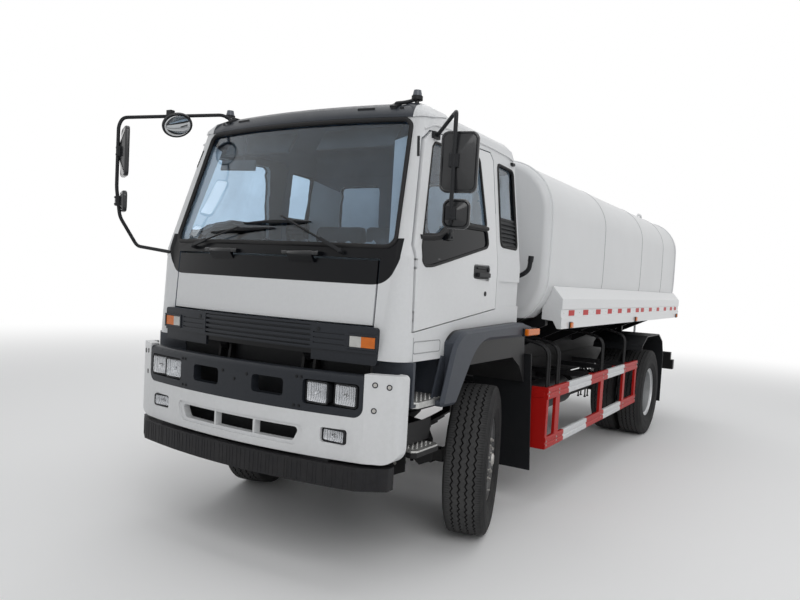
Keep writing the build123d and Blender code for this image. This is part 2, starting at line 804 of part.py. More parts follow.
with BuildPart() as rubber_bar:
    with BuildSketch(plan_view(bar_low)):
        with BuildLine():
            ThreePointArc((1305, -890), (front_overhang, 0), (1305, 890))
            Line((1305, 890), (1205, 1033))
            Line((1205, 1033), (1110, 1033))
            Line((1110, 1033), (1305 - bar_depth, 860))
            ThreePointArc((1305 - bar_depth, 860), (front_overhang - bar_depth, 0), (1305 - bar_depth, -860))
            Line((1305 - bar_depth, -860), (1110, -1033))
            Line((1110, -1033), (1205, -1033))
            Line((1205, -1033), (1305, -890))
        make_face()
    extrude(amount=bar_high - bar_low)
    fillet(edges().filter_by(Axis.Z), 22)
    with BuildSketch(plan_view(bar_high)):
        for y in (600, -600):
            with Locations((bumper_nose - 85, y)):
                Rectangle(60, 200)
    extrude(amount=bumper_low - bar_high)

# ---- chassis ------------------------------------------------------------------------------------
# cross-members: x from the front axle, depth along x
cross_members = [
    (1050.0, 90.0), (-700.0, 80.0), (-1900.0, 80.0), (-3100.0, 80.0), (-3950.0, 80.0),
    (-4950.0, 80.0), (-5900.0, 80.0),
]
front_drop = 45.0
rear_drop = 40.0
# spring hangers: x, drop below the rail
hangers = [(690.0, front_drop), (-690.0, front_drop), (rear_x + 730, rear_drop), (rear_x - 730, rear_drop)]

with BuildPart() as frame:
    with BuildSketch(front_view(rail_rear)):
        with Locations(
            (rail_y - rail_flange / 2, rail_top - rail_height / 2),
            (-rail_y + rail_flange / 2, rail_top - rail_height / 2),
        ):
            Rectangle(rail_flange, rail_height)
        with Locations(
            (rail_y - rail_web - rail_flange / 2, rail_top - rail_height / 2),
            (-rail_y + rail_web + rail_flange / 2, rail_top - rail_height / 2),
        ):
            Rectangle(rail_flange, rail_height - 2 * rail_web, mode=Mode.SUBTRACT)
    extrude(amount=rail_front - rail_rear)
    for x, depth in cross_members:
        with BuildSketch(front_view(x)):
            with Locations((0, rail_top - rail_web - 38)):
                Rectangle(2 * (rail_y - rail_web / 2), 80)
        extrude(amount=depth / 2, both=True)
    for x, drop in hangers:
        with BuildSketch(side_view(rail_y)):
            add(outline([
                (x - 60, rail_top - rail_height), (x + 60, rail_top - rail_height),
                (x + 30, rail_top - rail_height - drop), (x - 30, rail_top - rail_height - drop),
            ]))
        extrude(amount=rail_flange)
        with BuildSketch(side_view(-rail_y + rail_flange)):
            add(outline([
                (x - 60, rail_top - rail_height), (x + 60, rail_top - rail_height),
                (x + 30, rail_top - rail_height - drop), (x - 30, rail_top - rail_height - drop),
            ]))
        extrude(amount=rail_flange)
    # towers of the cab hinge either side of the cab's ears, with the pin between them
    for y in (pivot_y - 5, pivot_y + 85):
        with BuildSketch(side_view(y)):
            add(outline([
                (pivot_x - 70, rail_top - 40), (pivot_x + 70, rail_top - 40),
                (pivot_x + 26, pivot_z + 5), (pivot_x - 26, pivot_z + 5),
            ]))
            with Locations((pivot_x, pivot_z)):
                Circle(30)
        tower = extrude(amount=20)
        mirror(tower, about=Plane.XZ)
    with BuildSketch(side_view(pivot_y + 85)):
        with Locations((pivot_x, pivot_z)):
            Circle(pivot_radius)
    pin = extrude(amount=110)
    mirror(pin, about=Plane.XZ)
    # horns that carry the bumper
    for y in (410, -410):
        with BuildSketch(side_view(y + 28)):
            add(outline([
                (rail_front - 60, rail_top - rail_height + 60), (rail_front + 40, rail_top - 90),
                (bumper_nose - 40, 1020),
                (bumper_nose - 40, 1190), (rail_front + 60, 1190), (rail_front - 60, rail_top),
            ]))
        extrude(amount=56)
    add(bumper_band.part, mode=Mode.SUBTRACT)
    add(bumper.part, mode=Mode.SUBTRACT)


def leaf_spring(x, y, half_length, pack_low, eye_z, leaves):
    """Pack of arched leaves with an eye at each end of the longest."""
    with BuildPart() as spring:
        for count in range(leaves):
            share = 1 - 0.16 * count
            low = pack_low + (leaves - 1 - count) * 14
            rise = (eye_z - pack_low - leaves * 14) * share ** 2
            with BuildSketch(side_view(y + 35)):
                with BuildLine():
                    ThreePointArc(
                        (x - half_length * share, low + rise), (x, low),
                        (x + half_length * share, low + rise),
                    )
                    Line((x + half_length * share, low + rise), (x + half_length * share, low + rise + 14))
                    ThreePointArc(
                        (x + half_length * share, low + rise + 14), (x, low + 14),
                        (x - half_length * share, low + rise + 14),
                    )
                    Line((x - half_length * share, low + rise + 14), (x - half_length * share, low + rise))
                make_face()
            extrude(amount=70)
        with BuildSketch(side_view(y + 35)):
            with Locations((x - half_length, eye_z), (x + half_length, eye_z)):
                Circle(26)
        extrude(amount=70)
        with BuildSketch(plan_view(pack_low)):
            with Locations((x, y)):
                Rectangle(180, 90)
        extrude(amount=leaves * 14 + 12)
    return spring.part


spring_y = rail_y - rail_flange / 2
beam_top = 575.0
rear_seat = 590.0
front_springs = both_sides(
    leaf_spring(0.0, spring_y, 690.0, beam_top, rail_top - rail_height - front_drop - 26, 5),
)
rear_springs = both_sides(
    leaf_spring(rear_x, spring_y, 730.0, rear_seat, rail_top - rail_height - rear_drop - 26, 6),
)

with BuildPart() as front_axle:
    with BuildSketch(side_view(660)):
        with Locations((0, 500)):
            Rectangle(90, 110)
        with Locations((38, 500), (-38, 500)):
            Rectangle(46, 66, mode=Mode.SUBTRACT)
    extrude(amount=1320)
    with BuildSketch(plan_view(beam_top - 35)):
        with Locations((0, spring_y), (0, -spring_y)):
            Rectangle(180, 90)
    extrude(amount=35)
    for side in (1, -1):
        with BuildSketch(side_view(side * 690 + 60)):
            with Locations((0, 510)):
                Rectangle(80, 90)
        extrude(amount=120)
        with BuildSketch(side_view(side * (king_y - 55) + 60)):
            with Locations((0, 525)):
                Rectangle(70, 90)
        extrude(amount=120)
        with BuildSketch(plan_view(tyre_radius - 52)):
            with Locations((0, side * king_y)):
                Circle(42)
        extrude(amount=104)
    with BuildSketch(plan_view(300)):
        with Locations((0, king_y), (0, -king_y)):
            Circle(king_radius + bearing_gap)
    extrude(amount=500, mode=Mode.SUBTRACT)
    with BuildSketch(plan_view(300)):
        with Locations((0, king_y + 55), (0, -king_y - 55)):
            Rectangle(120, 26)
    extrude(amount=500, mode=Mode.SUBTRACT)

arm_reach = 220.0
rod_z = 445.0
with BuildPart() as knuckle:
    # ears above and below the axle eye, with the king pin through them
    for low in (tyre_radius - 85, tyre_radius + 53):
        with BuildSketch(plan_view(low)):
            with Locations((0, king_y)):
                Circle(42)
            with Locations((0, king_y + 35)):
                Rectangle(84, 70)
        extrude(amount=32)
    with BuildSketch(plan_view(tyre_radius - 85)):
        with Locations((0, king_y)):
            Circle(king_radius)
    extrude(amount=170)
    with BuildSketch(plan_view(tyre_radius - 85)):
        with Locations((0, king_y + 60)):
            Rectangle(110, 26)
    extrude(amount=170)
    with BuildSketch(side_view(king_y + 60)):
        with Locations((0, tyre_radius)):
            Circle(spindle_radius)
    extrude(amount=-165)
    # steering arm to the rear
    with BuildSketch(plan_view(tyre_radius - 85)):
        with Locations((-arm_reach / 2, king_y)):
            Rectangle(arm_reach, 40)
        with Locations((-arm_reach, king_y)):
            Circle(24)
    extrude(amount=22)
    with BuildSketch(plan_view(rod_z - 40)):
        with Locations((-arm_reach, king_y)):
            Circle(11)
    extrude(amount=40)


def turned(piece, side):
    """Swing a front wheel piece about its king pin to where the wheels stand."""
    return piece.rotate(Axis((axle_x, side * king_y, 0), (0, 0, 1)), turn_deg)


knuckle_left = turned(knuckle.part, 1)
knuckle_right = turned(mirror(knuckle.part, about=Plane.XZ), -1)

# rod between the arm ends, moved with them
rod_x = -arm_reach * cos(radians(turn_deg))
rod_y = king_y - arm_reach * sin(radians(turn_deg))
with BuildPart() as tie_rod:
    with BuildSketch(side_view(rod_y)):
        with Locations((rod_x, rod_z - 23)):
            Circle(16)
    extrude(amount=2 * king_y)
    with BuildSketch(plan_view(rod_z - 40)):
        with Locations((rod_x, rod_y), (rod_x, rod_y - 2 * king_y)):
            Circle(26)
    extrude(amount=34)
    with BuildSketch(plan_view(rod_z - 60)):
        with Locations((rod_x, rod_y), (rod_x, rod_y - 2 * king_y)):
            Circle(11.3)
    extrude(amount=80, mode=Mode.SUBTRACT)

with BuildPart() as rear_axle:
    with BuildSketch(side_view(660)):
        with Locations((rear_x, tyre_radius)):
            Circle(65)
    extrude(amount=1320)
    with BuildSketch(side_view(rear_wheel_y + 30)):
        with Locations((rear_x, tyre_radius)):
            Circle(48)
    extrude(amount=2 * (rear_wheel_y + 30))
    with BuildSketch(Plane((axle_x + rear_x, 0, tyre_radius), x_dir=(0, 1, 0), z_dir=(1, 0, 0))):
        Ellipse(230, 190)
    extrude(amount=75, both=True)
    with BuildSketch(front_view(rear_x)):
        with Locations((0, tyre_radius)):
            Circle(90)
    extrude(amount=230)
    with BuildSketch(plan_view(tyre_radius)):
        with Locations((rear_x, spring_y), (rear_x, -spring_y)):
            Rectangle(160, 90)
    extrude(amount=rear_seat - tyre_radius)

with BuildPart() as engine:
    with BuildSketch(side_view(290)):
        add(outline([(760, 640), (760, 1180), (-420, 1180), (-420, 700), (-200, 620)]))
    extrude(amount=580)

with BuildPart() as propshaft:
    with BuildSketch(Plane((axle_x - 420, 0, 860), z_dir=(rear_x + 230 + 420, 0, tyre_radius - 860))):
        Circle(48)
    extrude(amount=sqrt((rear_x + 230 + 420) ** 2 + (tyre_radius - 860) ** 2))
    add(engine.part, mode=Mode.SUBTRACT)
    add(rear_axle.part, mode=Mode.SUBTRACT)


def wheel_view(x, y):
    """Half section of a wheel: outward along the axle, then up from its middle."""
    return Plane((axle_x + x, y, tyre_radius), x_dir=(0, 1, 0), z_dir=(1, 0, 0))


half_tread = tyre_width / 2
tyre_profile = [
    (-100, rim_radius), (-100, 302), (-half_tread + 6, 335), (-half_tread, 400),
    (-half_tread + 4, 465), (-half_tread + 16, 505),
    (-half_tread + 30, 518), (-60, tyre_radius), (60, tyre_radius), (half_tread - 30, 518),
    (half_tread - 16, 505),
    (half_tread - 4, 465), (half_tread, 400), (half_tread - 6, 335), (100, 302), (100, rim_radius),
]
barrel_profile = [
    (-112, 300), (-112, 288), (-100, 284), (-88, 262), (88, 262), (100, 284), (112, 288), (112, 300),
    (100, 300), (100, rim_radius), (-100, rim_radius), (-100, 300),
]

with BuildPart() as front_tyre:
    with BuildSketch(wheel_view(0, front_wheel_y)):
        add(outline(tyre_profile))
    revolve(axis=Axis((axle_x, front_wheel_y, tyre_radius), (0, 1, 0)))

with BuildPart() as front_rim:
    with BuildSketch(wheel_view(0, front_wheel_y)):
        add(outline(barrel_profile))
        add(outline([(40, 268), (60, 268), (92, 185), (92, 80), (80, 80), (80, 180)]))
        add(outline([
            (-40, spindle_radius + bearing_gap), (-40, 150), (20, 160), (80, 130), (120, 90),
            (128, 50), (128, 0), (112, 0), (112, spindle_radius + bearing_gap),
        ]))
    revolve(axis=Axis((axle_x, front_wheel_y, tyre_radius), (0, 1, 0)))
    with BuildSketch(side_view(front_wheel_y + 150)):
        with Locations((0, tyre_radius)):
            with PolarLocations(218, 8):
                Circle(30)
    extrude(amount=130, mode=Mode.SUBTRACT)

tyre_front_left = turned(front_tyre.part, 1)
tyre_front_right = turned(mirror(front_tyre.part, about=Plane.XZ), -1)
rim_front_left = turned(front_rim.part, 1)
rim_front_right = turned(mirror(front_rim.part, about=Plane.XZ), -1)

inner_y = rear_wheel_y - twin_spacing
with BuildPart() as tyres_rear:
    for y in (rear_wheel_y, inner_y):
        with BuildSketch(wheel_view(rear_x, y)):
            add(outline(tyre_profile))
        revolve(axis=Axis((axle_x + rear_x, y, tyre_radius), (0, 1, 0)))

disc_profile = [
    (-30, 268), (-50, 268), (-150, 205), (-163, 195), (-163, 90), (-152, 90), (-152, 190), (-140, 198),
]
with BuildPart() as rims_rear:
    middle = rear_wheel_y - twin_spacing / 2
    for y, away in ((rear_wheel_y, 1), (inner_y, -1)):
        with BuildSketch(wheel_view(rear_x, y)):
            add(outline([(away * a, r) for a, r in barrel_profile]))
            add(outline([(away * a, r) for a, r in disc_profile]))
        revolve(axis=Axis((axle_x + rear_x, y, tyre_radius), (0, 1, 0)))
    with BuildSketch(wheel_view(rear_x, middle)):
        add(outline([
            (-180, 48.5), (-180, 170), (-60, 170), (-12, 100), (110, 92), (170, 85), (205, 60),
            (205, 0), (195, 0), (195, 48.5),
        ]))
    revolve(axis=Axis((axle_x + rear_x, middle, tyre_radius), (0, 1, 0)))
    with BuildSketch(side_view(rear_wheel_y + 60)):
        with Locations((rear_x, tyre_radius)):
            with PolarLocations(228, 8):
                Circle(26)
    extrude(amount=350, mode=Mode.SUBTRACT)

tyres_rear_left = tyres_rear.part
tyres_rear_right = mirror(tyres_rear.part, about=Plane.XZ)
rims_rear_left = rims_rear.part
rims_rear_right = mirror(rims_rear.part, about=Plane.XZ)

# ---- lower steps and liners behind the front wheels ------------------------------------------
with BuildPart() as lower_step:
    with BuildSketch(plan_view(742)):
        add(outline([(1010, 860), (1010, 1060), (985, 1085), (730, 1085), (705, 1060), (705, 860)]))
    extrude(amount=30)
    with BuildSketch(front_view(940)):
        add(outline([
            (rail_y, 830), (rail_y, 980), (700, 960), (930, 790), (930, 742), (860, 742),
            (640, 860),
        ]))
    extrude(amount=14)
    with BuildSketch(front_view(760)):
        add(outline([
            (rail_y, 830), (rail_y, 980), (700, 960), (930, 790), (930, 742), (860, 742),
            (640, 860),
        ]))
    extrude(amount=14)
lower_steps = both_sides(lower_step.part)

# ---- tank ----------------------------------------------------------------------------------------
with BuildSketch(mode=Mode.PRIVATE) as tank_section:
    with BuildLine():
        Line((-tank_half + 18, tank_low + 15), (tank_half - 18, tank_low + 15))
        ThreePointArc(
            (tank_half - 18, tank_low + 15), (tank_half, (tank_low + tank_high) / 2),
            (tank_half - 18, tank_high - 30),
        )
        ThreePointArc((tank_half - 18, tank_high - 30), (0, tank_high), (-tank_half + 18, tank_high - 30))
        ThreePointArc(
            (-tank_half + 18, tank_high - 30), (-tank_half, (tank_low + tank_high) / 2),
            (-tank_half + 18, tank_low + 15),
        )
    make_face()
    fillet(tank_section.vertices(), tank_corner)

with BuildPart() as tank:
    with BuildSketch(front_view(tank_rear)):
        add(tank_section.sketch)
    extrude(amount=tank_front - tank_rear)
    fillet(faces().sort_by(Axis.X)[-1].edges(), 60)
    fillet(faces().sort_by(Axis.X)[0].edges(), 60)

# saddles: x places under the tank
saddle_places = [tank_front - 350.0 - 900.0 * step for step in range(6)]
with BuildPart() as tank_cradle:
    for side in (1, -1):
        with BuildSketch(side_view(side * (rail_y - rail_flange / 2) + 35)):
            add(outline([
                (tank_front - 150, rail_top), (tank_rear + 60, rail_top),
                (tank_rear + 60, rail_top + 130), (tank_front - 250, rail_top + 130),
            ]))
        extrude(amount=70)
    for x in saddle_places:
        with BuildSketch(front_view(x)):
            add(outline([
                (-440, rail_top + 130), (440, rail_top + 130), (skirt_inner, skirt_low + 15),
                (skirt_inner, skirt_high - 60),
                (-skirt_inner, skirt_high - 60), (-skirt_inner, skirt_low + 15),
            ]))
            add(tank_section.sketch, mode=Mode.SUBTRACT)
        extrude(amount=60)
    # side webs between the saddles
    for side in (1, -1):
        with BuildSketch(side_view(side * (rail_y - 9) + 4)):
            add(outline([
                (tank_front - 250, rail_top + 130), (tank_rear + 60, rail_top + 130),
                (tank_rear + 60, tank_low + 15), (tank_front - 250, tank_low + 15),
            ]))
        extrude(amount=8)

# ---- mudguards
with BuildPart() as rear_guard:
    # arch over the twin wheels, with a flap behind
    with BuildSketch(side_view(1240)):
        add(outline([
            (rear_x + 592, 1075), (rear_x + 560, 1130), (rear_x + 330, 1230), (rear_x - 330, 1230),
            (rear_x - 560, 1130),
            (rear_x - 660, 960), (rear_x - 660, 330), (rear_x - 672, 330), (rear_x - 672, 965),
            (rear_x - 568, 1140),
            (rear_x - 335, 1242), (rear_x + 335, 1242), (rear_x + 568, 1140), (rear_x + 602, 1081),
        ]))
    extrude(amount=580)
    # post up to the saddle above
    with BuildSketch(plan_view(1242)):
        with Locations((saddle_places[4] + 30, 760)):
            Rectangle(50, 60)
    extrude(amount=150)
    add(tank_cradle.part, mode=Mode.SUBTRACT)

with BuildPart() as front_guard:
    with BuildSketch(side_view(1110)):
        add(outline([(-650, 1240), (-662, 1240), (-780, 300), (-768, 300)]))
    extrude(amount=500)
    with BuildSketch(plan_view(960)):
        with Locations((-705, 518)):
            Rectangle(50, 186)
    extrude(amount=40)
mudguards = both_sides(rear_guard.part) + both_sides(front_guard.part)

with BuildPart() as tank_skirt:
    with BuildSketch(front_view(skirt_rear)):
        add(outline([
            (skirt_y, skirt_low), (skirt_y, 1530), (skirt_y - 8, 1534), (skirt_y - 8, 1592),
            (skirt_y, 1596), (skirt_y, skirt_high),
            (tank_half - 5, skirt_high + 100), (tank_half - 60, skirt_high + 100),
            (skirt_inner, skirt_high - 25),
            (skirt_inner, skirt_low + 70), (skirt_y - 75, skirt_low + 62), (skirt_y - 38, skirt_low),
        ]))
        add(tank_section.sketch, mode=Mode.SUBTRACT)
    extrude(amount=skirt_front - skirt_rear)
tank_skirts = both_sides(tank_skirt.part)

manhole_x = -3300.0
lid_radius = 260.0
with BuildPart() as tank_top:
    with BuildSketch(plan_view(tank_high - 60)):
        with Locations((manhole_x, 0)):
            Circle(lid_radius - 12)
            Circle(lid_radius - 40, mode=Mode.SUBTRACT)
    extrude(amount=150)
    # walkway strips beside the neck
    for y in (420, -420):
        with BuildSketch(plan_view(tank_high - 60)):
            with Locations(((tank_front + tank_rear) / 2, y)):
                Rectangle(tank_front - tank_rear - 700, 260)
        extrude(amount=66)
    # lugs for the lid's hinge
    for y in (70, -100):
        with BuildSketch(side_view(y + 30)):
            add(outline([
                (manhole_x - lid_radius - 62, tank_high - 40),
                (manhole_x - lid_radius + 14, tank_high - 40),
                (manhole_x - lid_radius + 14, tank_high + 60),
                (manhole_x - lid_radius - 20, tank_high + 126),
                (manhole_x - lid_radius - 62, tank_high + 126),
            ]))
        extrude(amount=30)
    add(tank.part, mode=Mode.SUBTRACT)
    with BuildSketch(side_view(300)):
        with Locations((manhole_x - lid_radius - 40, tank_high + 106)):
            Circle(9)
    extrude(amount=600, mode=Mode.SUBTRACT)

with BuildPart() as tank_lid:
    with BuildSketch(plan_view(tank_high + 91)):
        with Locations((manhole_x, 0)):
            Circle(lid_radius)
    extrude(amount=22)
    with BuildSketch(plan_view(tank_high + 113)):
        with Locations((manhole_x, 0)):
            Circle(lid_radius - 60)
    extrude(amount=25, taper=40)
    with BuildSketch(plan_view(tank_high + 96)):
        with Locations((manhole_x - lid_radius - 4, 0)):
            Rectangle(90, 120)
    extrude(amount=18)
    with BuildSketch(side_view(95)):
        with Locations((manhole_x - lid_radius - 40, tank_high + 106)):
            Circle(8.6)
    extrude(amount=190)

# ---- side guards ----------------------------------------------------------------------------------
# posts: middle x, width
guard_posts = [(-872.0, 46.0), (-1115.0, 100.0), (-2430.0, 100.0), (-3300.0, 80.0), (-3835.0, 70.0)]
# rails: low z, high z
guard_rails = [(868.0, 964.0), (466.0, 562.0)]
guard_front = guard_posts[0][0] + guard_posts[0][1] / 2
guard_back = guard_posts[-1][0] - guard_posts[-1][1] / 2

with BuildPart() as side_guard:
    for low, high in guard_rails:
        with BuildSketch(front_view(guard_back)):
            add(outline([
                (guard_y - 30, low), (guard_y - 4, low), (guard_y, low + 6), (guard_y, low + 36),
                (guard_y - 7, low + 42),
                (guard_y - 7, high - 42), (guard_y, high - 36), (guard_y, high - 6),
                (guard_y - 4, high), (guard_y - 30, high),
            ]))
        extrude(amount=guard_front - guard_back)
    for x, width in guard_posts:
        with BuildSketch(side_view(guard_y - 8)):
            with Locations((x, (guard_rails[1][0] + guard_rails[0][1]) / 2)):
                Rectangle(width, guard_rails[0][1] - guard_rails[1][0])
        extrude(amount=26)
    # front return
    with BuildSketch(front_view(guard_front - 30)):
        add(outline([
            (1030, guard_rails[1][0]), (guard_y - 8, guard_rails[1][0]),
            (guard_y - 8, guard_rails[0][1]), (1030, guard_rails[0][1]),
        ]))
    extrude(amount=30)
    # outriggers from the frame
    for x, width in guard_posts:
        with BuildSketch(side_view(guard_y - 34)):
            with Locations((x, 905)):
                Rectangle(50, 50)
        extrude(amount=guard_y - 34 - rail_y)
side_guards = both_sides(side_guard.part)

# ---- tanks and boxes under the deck -----------------------------------------------------------------
with BuildPart() as fuel_tank:
    with BuildSketch(front_view(-2300)):
        with Locations((-800, 700)):
            RectangleRounded(560, 520, 80)
    extrude(amount=1000)
    with BuildSketch(front_view(-2100)):
        with Locations((-(rail_y + 48), 880)):
            Rectangle(96, 160)
    extrude(amount=600)

# reservoirs: x of rear end, length, y, z, radius
reservoir_table = [(-2250.0, 900.0, 800.0, 760.0, 140.0), (-3150.0, 620.0, 760.0, 760.0, 120.0)]
with BuildPart() as air_reservoirs:
    for x, length, y, z, radius in reservoir_table:
        with BuildSketch(front_view(x)):
            with Locations((y, z)):
                Circle(radius)
        extrude(amount=length)
        for place in (x + length * 0.2, x + length * 0.8):
            with BuildSketch(front_view(place)):
                add(outline([(rail_y, z + 40), (y, z + 20), (y, z + 70), (rail_y, z + 130)]))
            extrude(amount=40)

# ---- rear end -------------------------------------------------------------------------------------------
with BuildPart() as rear_bumper:
    with BuildSketch(plan_view(660)):
        with Locations((tail_x + 45, 0)):
            Rectangle(90, 2 * 1190)
    extrude(amount=140)
    for y in (rail_y - 40, -rail_y + 40):
        with BuildSketch(side_view(y + 30)):
            add(outline([(tail_x + 90, 660), (tail_x + 90, 800), (rail_rear, 1000), (rail_rear, 780)]))
        extrude(amount=60)
    # tow eye under the middle of the bar
    with BuildSketch(side_view(15)):
        with Locations((tail_x + 45, 625)):
            Rectangle(80, 70)
        with Locations((tail_x + 45, 622)):
            Circle(22, mode=Mode.SUBTRACT)
    extrude(amount=30)
    # lamp boxes on the bar
    for y in (960, -960):
        with BuildSketch(plan_view(800)):
            with Locations((tail_x + 55, y)):
                Rectangle(70, 380)
        extrude(amount=110)

with BuildPart() as ladder:
    for y in (600, 200):
        add(tube([
            (tail_x + 60, y, 800), (tail_x + 60, y, 2700), (tank_rear - 40, y, 2900),
            (tank_rear + 150, y, 2900), (tank_rear + 150, y, 2780),
        ], 16, 60))
    for rung in range(7):
        with BuildSketch(side_view(600)):
            with Locations((tail_x + 60, 1060 + rung * 270)):
                Circle(12)
        extrude(amount=400)
    add(tank.part, mode=Mode.SUBTRACT)
    for z in (1600, 2300):
        for y in (600, 200):
            with BuildSketch(front_view(tail_x + 60)):
                with Locations((y, z)):
                    Circle(12)
            extrude(amount=tank_rear - tail_x - 60)

outlet_radius = 50.0
with BuildPart() as outlet:
    with BuildSketch(front_view(tail_x + 40)):
        with Locations((-250, 1560)):
            Circle(outlet_radius)
    extrude(amount=tank_rear - tail_x - 40)
    with BuildSketch(front_view(tail_x + 80)):
        with Locations((-250, 1560)):
            Circle(90)
    extrude(amount=20)
    with BuildSketch(front_view(tail_x + 40)):
        with Locations((-250, 1560)):
            Circle(outlet_radius - 8)
    extrude(amount=170, mode=Mode.SUBTRACT)

pieces = {
    "cab_shell": cab_shell.part, "service_panel": service_panel.part, "cab_glass": cab_glass.part,
    "door_left": door_left.part, "door_right": door_right, "door_glass_left": door_glass_left.part,
    "door_glass_right": door_glass_right, "grille": grille.part, "cab_lamps": cab_lamps.part,
    "roof_visor": roof_visor.part, "wheel_arches": wheel_arches, "dashboard": dashboard.part,
    "seats": seats.part, "mirror_left": mirror_left.part, "mirror_right": mirror_right.part,
    "frame": frame.part, "front_springs": front_springs, "rear_springs": rear_springs,
    "front_axle": front_axle.part, "rear_axle": rear_axle.part, "engine": engine.part,
    "propshaft": propshaft.part, "knuckle_left": knuckle_left, "knuckle_right": knuckle_right,
    "tie_rod": tie_rod.part, "tyre_front_left": tyre_front_left, "tyre_front_right": tyre_front_right,
    "rim_front_left": rim_front_left, "rim_front_right": rim_front_right,
    "tyres_rear_left": tyres_rear_left, "tyres_rear_right": tyres_rear_right,
    "rims_rear_left": rims_rear_left, "rims_rear_right": rims_rear_right,
    "bumper": bumper.part, "bumper_band": bumper_band.part, "front_lamps": front_lamps.part,
    "rubber_bar": rubber_bar.part, "lower_steps": lower_steps, "mudguards": mudguards,
    "tank": tank.part, "tank_cradle": tank_cradle.part, "tank_skirts": tank_skirts,
    "tank_top": tank_top.part, "tank_lid": tank_lid.part, "side_guards": side_guards,
    "fuel_tank": fuel_tank.part, "air_reservoirs": air_reservoirs.part,
    "rear_bumper": rear_bumper.part, "ladder": ladder.part, "outlet": outlet.part,
}
for name, piece in pieces.items():
    piece.label = name
    export_step(piece, f"parts/{name}.step")
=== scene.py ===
import math
import random

import bmesh
import bpy
from mathutils import Matrix, Vector


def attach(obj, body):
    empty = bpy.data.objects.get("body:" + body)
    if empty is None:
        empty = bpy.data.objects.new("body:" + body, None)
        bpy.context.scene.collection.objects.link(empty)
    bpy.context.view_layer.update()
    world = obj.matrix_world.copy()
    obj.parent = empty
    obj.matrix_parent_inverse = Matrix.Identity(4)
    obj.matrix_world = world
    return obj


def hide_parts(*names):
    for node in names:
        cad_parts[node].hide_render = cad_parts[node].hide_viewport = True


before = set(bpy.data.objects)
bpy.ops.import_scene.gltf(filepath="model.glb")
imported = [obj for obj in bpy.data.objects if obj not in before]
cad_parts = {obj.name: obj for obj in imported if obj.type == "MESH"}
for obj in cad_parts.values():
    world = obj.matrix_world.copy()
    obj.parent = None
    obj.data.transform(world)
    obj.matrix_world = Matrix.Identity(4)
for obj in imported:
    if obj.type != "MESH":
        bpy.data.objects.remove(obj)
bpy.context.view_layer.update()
random.seed(7)
axleX = 2.430          # front axle, metres from the middle
bothSides = ((1, "left"), (-1, "right"))
print("frame loaded")


def addBox(bm, center, size, turn=None):
    matrix = Matrix.Translation(center)
    if turn is not None:
        matrix = matrix @ turn
    return bmesh.ops.create_cube(bm, size=1.0, matrix=matrix @ Matrix.Diagonal((*size, 1.0)))["verts"]


def aimZ(direction):
    return Vector((0, 0, 1)).rotation_difference(Vector(direction)).to_matrix().to_4x4()


def addRod(bm, start, end, radius, segments=16, endRadius=None):
    start, end = Vector(start), Vector(end)
    matrix = Matrix.Translation((start + end) / 2) @ aimZ(end - start)
    return bmesh.ops.create_cone(bm, cap_ends=True, segments=segments, radius1=radius,
                                 radius2=radius if endRadius is None else endRadius,
                                 depth=(end - start).length, matrix=matrix)["verts"]


def addPrism(bm, outline, direction):
    # flat outline pushed along a direction
    verts = [bm.verts.new(p) for p in outline]
    face = bm.faces.new(verts)
    grown = bmesh.ops.extrude_face_region(bm, geom=[face])["geom"]
    moved = [g for g in grown if isinstance(g, bmesh.types.BMVert)]
    bmesh.ops.translate(bm, verts=moved, vec=direction)
    return verts + moved


def addLathe(bm, profile, center, axis, segments=48, closed=False):
    # profile of (radius, along) turned round an axis
    axis = Vector(axis).normalized()
    turn = Vector((0, 1, 0)).rotation_difference(axis).to_matrix().to_4x4()
    place = Matrix.Translation(center) @ turn
    verts = [bm.verts.new(place @ Vector((0, along, radius))) for radius, along in profile]
    edges = [bm.edges.new(pair) for pair in zip(verts, verts[1:])]
    if closed:
        edges.append(bm.edges.new((verts[-1], verts[0])))
    bmesh.ops.spin(bm, geom=verts + edges, cent=center, axis=axis, dvec=(0, 0, 0),
                   angle=math.tau, steps=segments, use_merge=True)


def roundPath(points, bend):
    # open path with rounded corners
    steps = 6
    points = [Vector(p) for p in points]
    path = [points[0]]
    for before, corner, after in zip(points, points[1:], points[2:]):
        reach = min(bend, (corner - before).length * 0.48, (after - corner).length * 0.48)
        a = corner + (before - corner).normalized() * reach
        b = corner + (after - corner).normalized() * reach
        for i in range(steps + 1):
            t = i / steps
            path.append(a.lerp(corner, t).lerp(corner.lerp(b, t), t))
    return path + [points[-1]]


def tubeMesh(path, radius, sides, closed):
    # mesh of a round tube along a path
    curve = bpy.data.curves.new("path", "CURVE")
    curve.dimensions = "3D"
    curve.bevel_depth = radius
    curve.bevel_resolution = sides
    curve.use_fill_caps = True
    spline = curve.splines.new("POLY")
    spline.points.add(len(path) - 1)
    for point, place in zip(spline.points, path):
        point.co = (*place, 1.0)
    spline.use_cyclic_u = closed
    holder = bpy.data.objects.new("path", curve)
    bpy.context.scene.collection.objects.link(holder)
    bpy.context.view_layer.update()
    mesh = bpy.data.meshes.new_from_object(holder.evaluated_get(bpy.context.evaluated_depsgraph_get()))
    bpy.data.objects.remove(holder)
    bpy.data.curves.remove(curve)
    return mesh


def addTube(bm, points, radius, bend=0.0, sides=3, closed=False):
    path = roundPath(points, bend) if bend else [Vector(p) for p in points]
    mesh = tubeMesh(path, radius, sides, closed)
    bm.from_mesh(mesh)
    bpy.data.meshes.remove(mesh)


